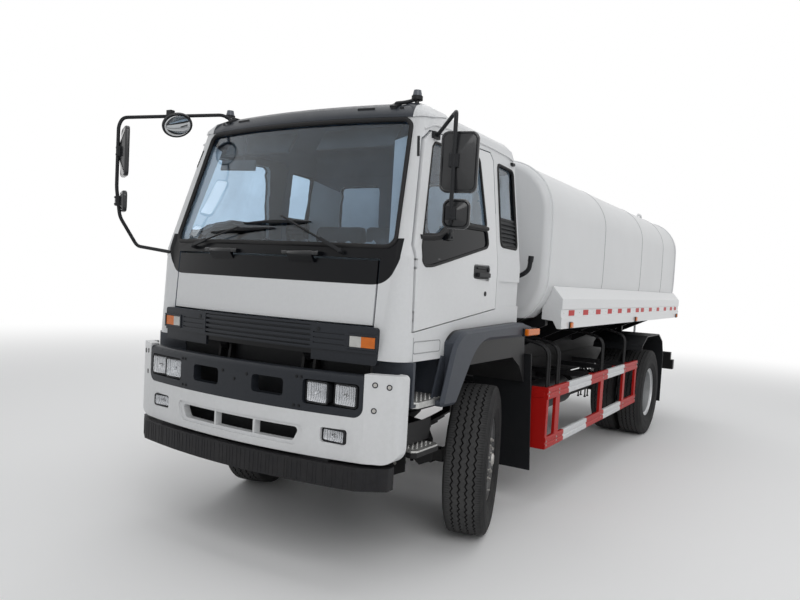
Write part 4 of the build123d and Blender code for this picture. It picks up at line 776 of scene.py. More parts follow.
def makeSeals():
    bend = sealSet["bend"]
    addSeals("screen_seal", "cab_glass", frontGlass, sealSet["screen"], (1, 0, 0.2), "cab", 0.07, 0.010)
    addSeals("rear_seals", "cab_glass", rearGlass, sealSet["rear"], (-1, 0, 0), "cab", bend, 0.010)
    for side, body in bothSides:
        addSeals(f"quarter_seal_{body}", "cab_glass",
                 lambda face: face.calc_center_median().x < axleX and face.normal.y * side > 0.6,
                 sealSet["quarter"], (0, side, 0), "cab", bend, 0.010)
        addSeals(f"door_seal_{body}", f"door_glass_{body}", lambda face: face.normal.y * side > 0.6,
                 sealSet["door"], (0, side, 0), f"door_{body}", 0.03, 0.008)
        # the small lower pane is backed in gloss black
        bm = mergedCopy(f"door_glass_{body}")
        keep = set(min(faceIslands(bm), key=lambda group: sum(f.calc_center_median().z for f in group) / len(group)))
        keepFaces(bm, lambda face: face in keep and face.normal.y * side > 0.5)
        bmesh.ops.translate(bm, verts=bm.verts, vec=(0, side * 0.0015, 0))
        finishPiece(bm, f"lower_pane_{body}", finish["blackGloss"], f"door_{body}", recalc=False)


def makeLining():
    # inner faces of the cab and its doors, lifted off by a millimetre and a half; the cab's lining carries painted
    # shade
    lift = 0.0015
    bm = mergedCopy("cab_shell")
    middle = at(0.3, 0, 2.0)

    def inner(face):
        center = face.calc_center_median()
        if face.normal.dot(middle - center) <= 0:
            return False
        return all(abs(v.co.y) < 1.012 and -0.43 < v.co.x - axleX < 1.165 and v.co.z > 1.34 for v in face.verts)

    keepFaces(bm, inner)
    bm.normal_update()
    for vert in bm.verts:
        vert.co += vert.normal * lift
    finishPiece(bm, "cab_lining", finish["shadedCabinLining"], "cab", sharp=40, recalc=False)
    for side, body in bothSides:
        bm = mergedCopy(f"door_{body}")
        keepFaces(bm, lambda face: face.normal.y * side < -0.6 and abs(face.calc_center_median().y) < 1.016)
        for vert in bm.verts:
            vert.co.y -= side * lift
        finishPiece(bm, f"door_lining_{body}", finish["cabinPlastic"], f"door_{body}",
                    sharp=40, recalc=False)


makeSeals()
makeLining()
print("window seals and lining made")


wiperSet = {
    "pivots": ((0.600, 1.905), (-0.640, 1.905)),        # y, z of the two pivots
    "holds": ((0.120, 2.105), (-0.215, 2.030)),         # where each arm holds its blade
    "bladeEnds": (((-0.215, 2.068), (0.330, 2.082)), ((-0.520, 2.006), (0.060, 2.040))),
    "arm": 0.0065, "blade": 0.004, "lift": 0.012}


def makeWipers():
    bm = bmesh.new()
    for (py, pz), (hy, hz), (start, end) in zip(wiperSet["pivots"], wiperSet["holds"], wiperSet["bladeEnds"]):
        foot, normal = frontOn("cab_shell", py, pz)
        addRod(bm, foot - normal * 0.01, foot + normal * 0.030, 0.013)
        addRod(bm, foot + normal * 0.030, foot + normal * 0.042, 0.017, endRadius=0.012)
        hold, up = frontOn("cab_glass", hy, hz, wiperSet["lift"] + 0.030)
        top = foot + normal * 0.034
        near = top.lerp(hold, 0.30) + up * 0.004
        # a flat wide root, then a slim rod with a hook at the blade
        along = (near - top).normalized()
        turn = Matrix((along, up.cross(along).normalized(), up)).transposed().to_4x4()
        addBox(bm, top.lerp(near, 0.5), ((near - top).length + 0.02, 0.020, 0.013), turn)
        addTube(bm, [near - along * 0.02, near.lerp(hold, 0.9), hold, hold - up * 0.016],
                wiperSet["arm"], bend=0.02, sides=2)
        # rubber and its bridge follow the glass
        path = []
        for i in range(13):
            y = start[0] + (end[0] - start[0]) * i / 12
            z = start[1] + (end[1] - start[1]) * i / 12
            path.append(frontOn("cab_glass", y, z, 0.004)[0])
        addTube(bm, path, wiperSet["blade"], sides=2)
        addTube(bm, [p + up * 0.010 for p in path], 0.0035, sides=1)
        for a, b in ((1, 5), (7, 11)):
            addTube(bm, [path[a] + up * 0.008, path[(a + b) // 2] + up * 0.022, path[b] + up * 0.008],
                    0.0045, bend=0.05, sides=2)
        addTube(bm, [path[3] + up * 0.018, path[6] + up * 0.036, path[9] + up * 0.018], 0.0055, bend=0.08, sides=2)
    finishPiece(bm, "wipers", finish["blackPlastic"], "cab", sharp=45)


makeWipers()
print("wipers made")


cabinSet = {
    "mirror": (0.900, -0.520, 2.490), "mirrorSize": (0.012, 0.270, 0.075),
    "mirrorArm": ((-0.008, 0, 0), (-0.04, 0.01, 0.05), (-0.06, 0.01, 0.16), (-0.04, 0.01, 0.21)),
    "visorY": (0.42, -0.42), "visorSize": (0.018, 0.60, 0.16),
    "ventY": (-0.78, -0.16, 0.06, 0.78), "ventSize": (0.03, 0.15, 0.05)}


def makeCabin():
    bm = bmesh.new()
    place = at(*cabinSet["mirror"])
    turn = Matrix.Rotation(math.radians(14), 4, "Z") @ Matrix.Rotation(math.radians(-12), 4, "Y")
    addBox(bm, place, cabinSet["mirrorSize"], turn)
    addTube(bm, [place + Vector(step) for step in cabinSet["mirrorArm"]], 0.006, bend=0.03, sides=2)
    for y in cabinSet["visorY"]:
        addBox(bm, at(0.800, y, 2.640), cabinSet["visorSize"], Matrix.Rotation(math.radians(-32), 4, "Y"))
    # four vents on the dashboard's top
    for y in cabinSet["ventY"]:
        addBox(bm, at(0.900, y, 1.975), cabinSet["ventSize"], Matrix.Rotation(math.radians(-20), 4, "Y"))
    finishPiece(bm, "cabin_fittings", finish["cabinPlastic"], "cab", bevel=0.006, segments=3)


makeCabin()
print("cabin fittings made")


lampSet = {
    "head": ((0.602, 0.150, 1.101, 0.120), (0.778, 0.150, 1.101, 0.120)),   # y, width, z, height
    "fog": ((0.722, 0.150, 0.868, 0.070),)}


def roundedRect(y, z, width, height, radius, steps=5):
    # rectangle with rounded corners, as pairs
    points = []
    across, up = width / 2 - radius, height / 2 - radius
    for cy, cz, start in ((across, up, 0), (-across, up, 90), (-across, -up, 180), (across, -up, 270)):
        for i in range(steps + 1):
            a = math.radians(start + 90 * i / steps)
            points.append((y + cy + radius * math.cos(a), z + cz + radius * math.sin(a)))
    return points


def addBowl(bm, rings):
    # rings of equal length joined from the front edge to the back, the last one closed;
    # face by face, because bridging the rings closes the opening of a frame as well
    made = [[bm.verts.new(p) for p in ring] for ring in rings]
    for outer, inner in zip(made, made[1:]):
        for i in range(len(outer)):
            bm.faces.new((outer[i - 1], outer[i], inner[i], inner[i - 1]))
    bm.faces.new(made[-1])
    return made


def makeLamp(name, y, width, z, height):
    # frame, chrome bowl with upright ribs, bulb and clear lens
    x = frontOn("front_lamps", y, z)[0].x

    def place(points, dx):
        return [(x + dx, py, pz) for py, pz in points]

    shell = bmesh.new()
    addBowl(shell, [
        place(roundedRect(y, z, width + 0.012, height + 0.012, 0.020), 0.002),
        place(roundedRect(y, z, width + 0.010, height + 0.010, 0.019), 0.012),
        place(roundedRect(y, z, width - 0.006, height - 0.006, 0.014), 0.012),
        place(roundedRect(y, z, width - 0.010, height - 0.010, 0.012), 0.004)])
    keepFaces(shell, lambda face: len(face.verts) < 8)
    finishPiece(shell, f"{name}_frame", finish["blackPlastic"], "chassis", sharp=40)
    bowl = bmesh.new()
    addBowl(bowl, [
        place(roundedRect(y, z, width - 0.010, height - 0.010, 0.012), 0.0085),
        place(roundedRect(y, z, width * 0.90, height * 0.88, 0.014), 0.0060),
        place(roundedRect(y, z, width * 0.72, height * 0.74, 0.026), 0.0035),
        place(roundedRect(y, z, width * 0.44, height * 0.50, 0.018), 0.0015),
        place(roundedRect(y, z, 0.024, 0.024, 0.011), 0.0010)])
    for i in range(9):
        flute = y - width * 0.42 + width * 0.84 * i / 8
        addRod(bowl, (x + 0.0078, flute, z - height * 0.42), (x + 0.0078, flute, z + height * 0.42),
               0.0016, segments=8)
    finishPiece(bowl, f"{name}_bowl", finish["reflector"], "chassis", sharp=50)
    bulb = bmesh.new()
    addRod(bulb, (x + 0.001, y, z), (x + 0.009, y, z), 0.012, segments=20)
    finishPiece(bulb, f"{name}_bulb", finish["lens"], "chassis")
    lens = bmesh.new()
    addBox(lens, (x + 0.0105, y, z), (0.0018, width - 0.010, height - 0.010))
    finishPiece(lens, f"{name}_lens", finish["lens"], "chassis", bevel=0.0006)


def makeLamps():
    for side, word in bothSides:
        for i, (y, width, z, height) in enumerate(lampSet["head"]):
            makeLamp(f"headlamp_{word}_{i + 1}", side * y, width, z, height)
        for y, width, z, height in lampSet["fog"]:
            makeLamp(f"fog_lamp_{word}", side * y, width, z, height)


makeLamps()
print("front lamps made")


bumperSet = {
    # all as (y, z)
    "bandBolts": ((0.468, 1.178), (0.498, 1.178), (-0.468, 1.178), (-0.498, 1.178), (0.490, 1.010), (-0.490, 1.010),
                  (0.455, 1.010), (-0.455, 1.010), (0.0, 1.110), (0.10, 1.150), (-0.10, 1.150)),
    "cornerHoles": ((0.950, 1.178), (1.022, 1.170), (0.950, 1.035)),
    # boxes of painted shade behind the front openings, as (x, z), depth along y and z
    "shadeBoxes": (((1.168, 0.865), (1.30, 0.24)), ((1.150, 1.090), (1.10, 0.17)), ((1.060, 1.235), (1.56, 0.11)))}
ribSet = {"count": 64, "half": 0.99, "z": 0.65, "out": 0.0034, "wide": (0.004, 0.012), "tall": (0.112, 0.124)}


def addBolt(bm, place, normal, radius, height=0.005):
    # hexagon head on a thin washer
    normal = Vector(normal).normalized()
    addRod(bm, place - normal * 0.003, place + normal * 0.0018, radius * 1.5, segments=16)
    addRod(bm, place, place + normal * height, radius, segments=6, endRadius=radius * 0.92)


def makeBumperBits():
    # bolts of the dark band, cups and bolts in the corners, and black boxes of painted shade behind the openings
    bm = bmesh.new()
    for y, z in bumperSet["bandBolts"]:
        place, normal = frontOn("bumper_band", y, z)
        addBolt(bm, place, normal, 0.007)
    finishPiece(bm, "band_bolts", finish["blackPlastic"], "chassis", sharp=30)
    holes = bmesh.new()
    bolts = bmesh.new()
    for side in (1, -1):
        for y, z in bumperSet["cornerHoles"]:
            place, normal = frontOn("bumper", side * y, z)
            addLathe(holes, [(0.0105, -0.004), (0.0165, -0.004), (0.0165, 0.0022), (0.0145, 0.003), (0.0105, 0.001)],
                     place, normal, segments=24, closed=True)
            addRod(bolts, place - normal * 0.003, place + normal * 0.0008, 0.0105, segments=20)
            addRod(bolts, place, place + normal * 0.0026, 0.0062, segments=6)
    finishPiece(holes, "corner_cups", finish["darkPlastic"], "chassis", sharp=30)
    finishPiece(bolts, "corner_bolts", finish["steel"], "chassis", sharp=30)
    # black boxes behind the lower grille, the tow holes and the gap above the bumper: painted shade seen through them
    back = bmesh.new()
    for (x, z), (wide, tall) in bumperSet["shadeBoxes"]:
        addBox(back, at(x, 0, z), (0.010, wide, tall))
    finishPiece(back, "front_shade_boxes", finish["blackPlastic"], "chassis", bevel=0.002)


def makeBarRibs():
    # the rubber bar has shallow upright ribs at uneven spacing
    bm = bmesh.new()
    half, count = ribSet["half"], ribSet["count"]
    for i in range(count):
        y = -half + 2 * half * (i + random.uniform(-0.3, 0.3)) / (count - 1)
        place, normal = frontOn("rubber_bar", y, ribSet["z"])
        turn = Matrix.Rotation(math.atan2(normal.y, normal.x), 4, "Z")
        size = (ribSet["out"], random.uniform(*ribSet["wide"]), random.uniform(*ribSet["tall"]))
        addBox(bm, place + normal * 0.0002, size, turn)
    finishPiece(bm, "bar_ribs", finish["barRubber"], "chassis", bevel=0.0012)


makeBumperBits()
makeBarRibs()
print("bumper pieces made")


grilleSet = {
    "lampY": 0.797, "lampZ": 1.397, "lampSize": (0.166, 0.066), "strip": 0.012,
    "bow": 0.062, "half": 0.88,                         # the front falls back by bow at half from the middle
    "meshHalf": 0.43, "meshStep": 0.018, "plug": (0.50, 1.450)}


def makeGrille():
    # four strips round each turn lamp, turned with the bowed front
    bezel = bmesh.new()
    width, height = grilleSet["lampSize"]
    strip, bow, half = grilleSet["strip"], grilleSet["bow"], grilleSet["half"]
    for side in (1, -1):
        for dy, dz, wide, tall in (
                (0, height / 2 + strip / 2, width + 0.026, strip), (0, -height / 2 - strip / 2, width + 0.026, strip),
                (width / 2 + strip / 2, 0, strip, height), (-width / 2 - strip / 2, 0, strip, height)):
            y = side * (grilleSet["lampY"] + dy)
            reach = min(dy, width / 2 + 0.004)
            spot = frontOn("grille", side * (grilleSet["lampY"] + reach), grilleSet["lampZ"] + height / 2 + 0.012)[0]
            x = spot.x - bow * (y ** 2 - spot.y ** 2) / half ** 2
            turn = Matrix.Rotation(side * math.atan(2 * bow * abs(y) / half ** 2), 4, "Z")
            addBox(bezel, (x, y, grilleSet["lampZ"] + dz), (0.016, wide, tall), turn)
    finishPiece(bezel, "turn_bezels", finish["darkPlastic"], "cab", bevel=0.003, segments=3)
    # upright bars of the mesh behind the louvres
    mesh = bmesh.new()
    reach = grilleSet["meshHalf"]
    count = int(2 * reach / grilleSet["meshStep"])
    for i in range(count + 1):
        y = -reach + 2 * reach * i / count
        addBox(mesh, at(1.206 - 0.016 * (y / 0.445) ** 2, y, 1.41), (0.003, 0.003, 0.118))
    finishPiece(mesh, "grille_mesh", finish["blackPlastic"], "cab")
    # round hole plugs in the side segments
    plug = bmesh.new()
    for side in (1, -1):
        place, normal = frontOn("grille", side * grilleSet["plug"][0], grilleSet["plug"][1])
        addLathe(plug, [(0.0, -0.003), (0.011, -0.003), (0.013, 0.002), (0.009, 0.003), (0.0, 0.001)],
                 place, normal, segments=20)
    finishPiece(plug, "grille_plugs", finish["blackPlastic"], "cab", sharp=40)


makeGrille()
print("grille pieces made")


doorSet = {
    # boxes of the handle: x, how far out of the door, z, size
    "handle": ((0.196, -0.006, 1.842, (0.232, 0.012, 0.088)), (0.185, 0.012, 1.824, (0.175, 0.022, 0.030)),
               (0.105, 0.002, 1.824, (0.022, 0.022, 0.028)), (0.265, 0.002, 1.824, (0.022, 0.022, 0.028)),
               (0.215, 0.002, 1.868, (0.120, 0.014, 0.012))),
    "button": (0.100, 1.862), "key": (0.126, 1.699)}    # x, z


def makeDoorBits():
    # the handle's housing fills its pocket, its grip stands clear and a slot lies above it; a lock below
    for side, word in bothSides:
        y = sideOn(f"door_{word}", side, 0.2, 1.70)[0].y
        bm = bmesh.new()
        for x, out, z, size in doorSet["handle"]:
            addBox(bm, at(x, y + side * out, z), size)
        x, z = doorSet["button"]
        addRod(bm, at(x, y - side * 0.004, z), at(x, y + side * 0.010, z), 0.014, segments=24)
        finishPiece(bm, f"door_handle_{word}", finish["blackPlastic"], f"door_{word}",
                    bevel=0.005, segments=3)
        key = bmesh.new()
        place, normal = sideOn(f"door_{word}", side, *doorSet["key"])
        addLathe(key, [(0.0, -0.002), (0.017, -0.002), (0.017, 0.003), (0.013, 0.005), (0.0, 0.005)],
                 place, normal, segments=28)
        addBox(key, place + normal * 0.0055, (0.012, 0.0016, 0.003))
        finishPiece(key, f"door_lock_{word}", finish["blackPlastic"], f"door_{word}", sharp=30)


ventSet = {"x": -0.26, "slats": 6, "low": 2.055, "step": 0.030, "slat": (0.262, 0.014, 0.022)}


def makeQuarterVents():
    # louvred lower part of each quarter window
    vx = ventSet["x"]
    for side, word in bothSides:
        bm = bmesh.new()
        turn = Matrix.Rotation(side * math.radians(35), 4, "X")
        for i in range(ventSet["slats"]):
            place = sideOn("cab_glass", side, vx, ventSet["low"] + i * ventSet["step"], 0.004)[0]
            addBox(bm, place, ventSet["slat"], turn)
        addBox(bm, sideOn("cab_glass", side, vx, 2.235, 0.003)[0], (0.270, 0.012, 0.016))
        low = sideOn("cab_glass", side, vx, 2.050, 0.001)[0]
        high = sideOn("cab_glass", side, vx, 2.232, 0.001)[0]
        lean = high - low
        turn = Matrix.Rotation(math.atan2(-lean.y, lean.z), 4, "X")
        addBox(bm, (low + high) / 2, (0.268, 0.002, lean.length), turn)
        finishPiece(bm, f"quarter_vent_{word}", finish["blackPlastic"], "cab", bevel=0.002)


trimSet = {
    "bead": (0.877, 1.381, 0.310, 0.068, 0.016),        # x, z, width, height, corner
    "seam": (1.303, 1.35, 1.40, 1.440),                 # z of its points
    "rail": ((0.845, 2.66), (0.79, 2.695), (0.60, 2.712), (0.30, 2.716), (0.0, 2.716), (-0.30, 2.706), (-0.40, 2.69))}


def makeSideTrim():
    for side, word in bothSides:
        # raised rectangle in the sill ahead of the flare
        bm = bmesh.new()
        wall = sideOn("cab_shell", side, 0.80, 1.40)[0].y
        path = [at(x, wall + side * 0.0004, z) for x, z in roundedRect(*trimSet["bead"])]
        addTube(bm, path, 0.0030, sides=2, closed=True)
        # seam that carries on from the door's front edge to the foot of the cab
        path = [sideOn("cab_shell", side, 1.034, z, -0.0008)[0] for z in trimSet["seam"]]
        addTube(bm, path, 0.0028, sides=2)
        finishPiece(bm, f"sill_bead_{word}", finish["seamGrey"], "cab")
        # drip rail over the door, up the pillar and back to the rear window
        rail = bmesh.new()
        path = [sideOn("cab_shell", side, x, z, 0.004)[0] for x, z in trimSet["rail"]]
        addTube(rail, path, 0.0075, bend=0.05, sides=2)
        finishPiece(rail, f"drip_rail_{word}", finish["paint"], "cab")
        # black hook at the rear of the roof
        hook = bmesh.new()
        foot = sideOn("cab_shell", side, -0.38, 2.66)[0]
        addBox(hook, foot + Vector((0, side * 0.008, 0)), (0.05, 0.026, 0.022))
        finishPiece(hook, f"roof_hook_{word}", finish["blackPlastic"], "cab", bevel=0.005)


sashSet = {
    # x, z from the window's front corner back
    "path": ((0.990, 2.0155), (0.880, 2.0225), (0.775, 2.032), (0.683, 2.084), (0.585, 2.110), (0.485, 2.134),
             (0.28, 2.138), (0.085, 2.142)),
    # x, bottom, top of each column of the pane below
    "pane": ((0.112, 2.020, 2.121), (0.250, 1.990, 2.118), (0.400, 1.958, 2.115), (0.485, 1.941, 2.113),
             (0.580, 1.921, 2.089), (0.680, 1.900, 2.063), (0.770, 1.881, 2.011), (0.860, 1.863, 2.005),
             (0.930, 1.859, 2.001), (0.965, 1.874, 1.998)),
    "rows": 4}


def makeSash():
    # dark moulding between the side window and its lower pane
    for side, word in bothSides:
        bm = bmesh.new()
        path = [sideOn(f"door_{word}", side, x, z, -0.002)[0] for x, z in sashSet["path"]]
        addTube(bm, path, 0.0145, bend=0.05, sides=3)
        finishPiece(bm, f"door_sash_{word}", finish["rubber"], f"door_{word}", sharp=50)


def makeLowerPane():
    # black gloss panel over the lower part of the door window: a grid laid on the glass
    columns, rows = sashSet["pane"], sashSet["rows"]
    for side, word in bothSides:
        bm = bmesh.new()
        bmesh.ops.create_grid(bm, x_segments=len(columns) - 1, y_segments=rows, size=1.0)
        for vert in bm.verts:
            x, low, top = columns[round((vert.co.x + 1) / 2 * (len(columns) - 1))]
            z = low + (top - low) * round((vert.co.y + 1) / 2 * rows) / rows
            vert.co = sideOn(f"door_glass_{word}", side, x, z, 0.0022)[0]
        bm.normal_update()
        bmesh.ops.solidify(bm, geom=bm.faces[:], thickness=-side * 0.0016)
        finishPiece(bm, f"door_lower_pane_{word}", finish["blackPane"], f"door_{word}", sharp=40)


def makePillarVents():
    # slot beside the windscreen, near the top of each pillar
    for side, word in bothSides:
        low, normal = sideOn("cab_shell", side, 0.905, 2.490, 0.0005)
        high = sideOn("cab_shell", side, 0.872, 2.615, 0.0005)[0]
        along = (high - low).normalized()
        across = normal.cross(along).normalized()
        turn = Matrix((across, along, across.cross(along))).transposed().to_4x4()
        bm = bmesh.new()
        addBox(bm, (low + high) / 2, (0.016, (high - low).length, 0.005), turn)
        for i in range(5):
            addBox(bm, low.lerp(high, 0.12 + 0.19 * i), (0.010, 0.014, 0.008), turn)
        finishPiece(bm, f"pillar_vent_{word}", finish["blackPlastic"], "cab", bevel=0.002)


pipeSet = {"path": ((-0.600, 0.830, 1.800), (-0.620, 1.004, 1.850), (-0.620, 1.060, 1.893), (-0.620, 1.070, 1.995))}


def makeRearPipe():
    # black bent pipe behind the cab, held by a plate on its rear wall
    foot = hitOn("cab_shell", at(-1.2, 0.80, 1.80), (1, 0, 0))[0]
    bm = bmesh.new()
    addTube(bm, [foot] + [at(*spot) for spot in pipeSet["path"]], 0.018, bend=0.05, sides=4)
    addTube(bm, [at(-0.620, 1.0665, 1.955), at(-0.620, 1.071, 2.000)], 0.0215, sides=4)
    addBox(bm, foot - Vector((0.004, 0, 0)), (0.010, 0.110, 0.110))
    finishPiece(bm, "rear_pipe", finish["blackPlastic"], "cab", sharp=40)


hingeSet = {"radius": 0.0145, "length": 0.286, "ear": 0.046, "x": 1.206, "y": 0.332, "z": 1.892}


def makeHingeCovers():
    # rounded covers over the ears and barrels of the service lid's hinges
    radius, length, ear, x, y, z = hingeSet.values()
    turns = [i * math.pi / 12 for i in range(6)]
    arc = [(radius * math.cos(a), ear - radius * 0.6 + radius * 0.6 * math.sin(a)) for a in turns]
    half = length / 2 - ear - 0.0015
    for side, word in bothSides:
        ends, middle = bmesh.new(), bmesh.new()
        for way in (1, -1):
            addLathe(ends, [(0.0, 0.0005), (radius, 0.0005)] + arc + [(0.0, ear)],
                     at(x, side * y + way * (length / 2 - ear), z), (0, way, 0), segments=24)
        addLathe(middle, [(0.0, -half), (radius - 0.001, -half), (radius, -half + 0.001), (radius, half - 0.001),
                          (radius - 0.001, half), (0.0, half)], at(x, side * y, z), (0, 1, 0), segments=24)
        finishPiece(ends, f"lid_hinge_ends_{word}", finish["mirrorBlack"], "cab", sharp=45)
        finishPiece(middle, f"lid_hinge_cover_{word}", finish["mirrorBlack"], "service_panel",
                    sharp=45)


sideLampSet = {"x": -0.500, "base": (0.250, 0.018, 0.060), "lens": (0.236, 0.034, 0.050)}


def makeTurnLampLens():
    # side repeater on the rear end of each flare, its base wraps the flare's corner
    for side, word in bothSides:
        wall = sideOn("wheel_arches", side, -0.43, 1.425)[0].y
        bm = bmesh.new()
        addBox(bm, at(sideLampSet["x"], wall + side * 0.004, 1.424), sideLampSet["base"])
        finishPiece(bm, f"side_lamp_base_{word}", finish["blackPlastic"], "chassis",
                    bevel=0.005)
        lens = bmesh.new()
        addBox(lens, at(sideLampSet["x"], wall + side * 0.026, 1.425), sideLampSet["lens"])
        finishPiece(lens, f"side_lamp_{word}", finish["amber"], "chassis", bevel=0.010, segments=4)


makeDoorBits()
makeQuarterVents()
makeSideTrim()
makeSash()
makeLowerPane()
makePillarVents()
makeRearPipe()
makeHingeCovers()
makeTurnLampLens()
print("door and side pieces made")


tyreSet = {
    "radius": 0.525, "crown": 0.004,
    "grooves": (-0.072, -0.024, 0.024, 0.072), "grooveHalf": 0.0062, "grooveDepth": 0.0135,
    "zigzag": 0.0072, "periods": 66,
    # radius and place across, from the bead out to the shoulder
    "side": ((0.292, 0.100), (0.296, 0.116), (0.306, 0.122), (0.311, 0.1195), (0.330, 0.128), (0.362, 0.1375),
             (0.366, 0.1398), (0.371, 0.1380), (0.400, 0.1418), (0.432, 0.1425), (0.437, 0.1442), (0.442, 0.1425),
             (0.470, 0.1390), (0.474, 0.1408), (0.479, 0.1372), (0.500, 0.1320), (0.512, 0.1270)),
    "shoulder": ((0.5195, 0.1195),)}
rearX = -2.030         # rear axle, metres from the middle
steer = math.radians(18.2)
steeredAxis = Vector((-math.sin(steer), math.cos(steer), 0))
wheelPlaces = (  # tyre node, rim node, body, axis outwards, centres of its tyres
    ("tyre_front_left", "rim_front_left", "wheel_front_left", steeredAxis, ((2.39221, 0.96495, 0.525),)),
    ("tyre_front_right", "rim_front_right", "wheel_front_right", -steeredAxis, ((2.46779, -0.96495, 0.525),)),
    ("tyres_rear_left", "rims_rear_left", "wheels_rear_left", Vector((0, 1, 0)),
     ((rearX, 1.100, 0.525), (rearX, 0.775, 0.525))),
    ("tyres_rear_right", "rims_rear_right", "wheels_rear_right", Vector((0, -1, 0)),
     ((rearX, -1.100, 0.525), (rearX, -0.775, 0.525))))


def tyreProfile(given):
    # closed outline of one tyre as (radius, place across)
    points = [(r, -a) for r, a in given["side"] + given["shoulder"]]
    for center in given["grooves"]:
        top = given["radius"] - given["crown"] * (center / 0.12) ** 2
        half = given["grooveHalf"]
        floor = top - given["grooveDepth"]
        points += [(top, center - half), (floor, center - half * 0.5), (floor, center + half * 0.5),
                   (top, center + half)]
    return points + [(r, a) for r, a in reversed(given["side"] + given["shoulder"])]


def addTyre(bm, center, axis):
    # one tyre spun from its outline, its grooves bent to a zigzag
    steps = tyreSet["periods"] * 4
    center = Vector(center)
    radial = Vector((0, 0, 1))
    verts = [bm.verts.new(center + axis * a + radial * r) for r, a in tyreProfile(tyreSet)]
    edges = [bm.edges.new(pair) for pair in zip(verts, verts[1:])] + [bm.edges.new((verts[-1], verts[0]))]
    bmesh.ops.spin(bm, geom=verts + edges, cent=center, axis=axis, dvec=(0, 0, 0),
                   angle=math.tau, steps=steps, use_merge=True)
    # every groove swings from side to side round the tyre
    across = axis.cross(radial)
    shift = (0.0, 1.0, 0.0, -1.0)
    for vert in bm.verts:
        arm = vert.co - center
        a = arm.dot(axis)
        if abs(a) < 0.088 and arm.length < 0.6:
            turn = math.atan2(arm.dot(across), arm.dot(radial)) / math.tau * steps
            vert.co += axis * shift[round(turn) % 4] * tyreSet["zigzag"]


def treadColorsAndShade(tree):
    # worn, dusty rib tops, groove floors painted black as painted shade, fine cuts along the rib edges
    reader = tree.nodes.new("ShaderNodeUVMap")
    reader.uv_map = "tread"
    split = tree.nodes.new("ShaderNodeSeparateXYZ")
    tree.links.new(reader.outputs[0], split.inputs[0])
    turn, kind = split.outputs["X"], split.outputs["Y"]
    top = addRange(tree, kind, 0.55, 0.95)
    saw = addMath(tree, "FRACT", addMath(tree, "MULTIPLY", turn, 190.0))
    sipe = addRange(tree, addMath(tree, "ABSOLUTE", addMath(tree, "SUBTRACT", saw, 0.5)), 0.10, 0.05)
    shoulder = addMath(tree, "MULTIPLY", addRange(tree, kind, 0.60, 0.80), addRange(tree, kind, 0.98, 0.90))
    cuts = addMath(tree, "MULTIPLY", sipe, shoulder)
    base = addMix(tree, top, (0.016, 0.016, 0.017), (0.050, 0.050, 0.051))
    # the groove floors' black is painted shade in the grooves
    floor = addRange(tree, kind, 0.28, 0.20)
    return addMix(tree, addMath(tree, "MAXIMUM", cuts, floor), base, (0.006, 0.006, 0.006))


def makeTyres():
    rubber = makeMaterial("treadRubberAndShade", treadColorsAndShade, roughness=0.75, specular=0.15, dust=0.34, dustTop=1.4,
                          dustColor=(0.15, 0.148, 0.142), grain=0.0007, grainScale=520, tone=0.35)
    for node, _, body, axis, centers in wheelPlaces:
        bm = bmesh.new()
        for center in centers:
            one = bmesh.new()
            addTyre(one, center, axis)
            bmesh.ops.recalc_face_normals(one, faces=one.faces)
            layer = one.loops.layers.uv.new("tread")
            across = axis.cross(Vector((0, 0, 1)))
            for face in one.faces:
                middle = face.calc_center_median() - Vector(center)
                start = math.atan2(middle.dot(across), middle.z) / math.tau
                for loop in face.loops:
                    arm = loop.vert.co - Vector(center)
                    a = arm.dot(axis)
                    r = math.sqrt(max(0.0, arm.length_squared - a * a))
                    turn = math.atan2(arm.dot(across), arm.z) / math.tau
                    turn += round(start - turn)
                    # side wall 0.4, groove floor 0.1, ribs 1, shoulder edge 0.7
                    kind = 0.4
                    if r > 0.505:
                        kind = 1.0 if abs(a) < 0.112 else 0.72
                        if r < 0.5155 and abs(a) < 0.09:
                            kind = 0.1
                    loop[layer].uv = (turn, kind)
            mesh = bpy.data.meshes.new("tyre")
            one.to_mesh(mesh)
            one.free()
            bm.from_mesh(mesh)
            bpy.data.meshes.remove(mesh)
        finishPiece(bm, f"{node}_tread", rubber, body, sharp=38, replaces=(node,), recalc=False)


nutSet = {
    "nuts": (10, 0.1425), "hubStuds": (8, 0.082),       # count and radius of each ring
    "stud": 0.011, "nut": 0.0155, "valve": 0.225,
    "cap": ((0.0, 0.016), (0.030, 0.014), (0.042, 0.008), (0.046, 0.0), (0.046, -0.004), (0.0, -0.004))}


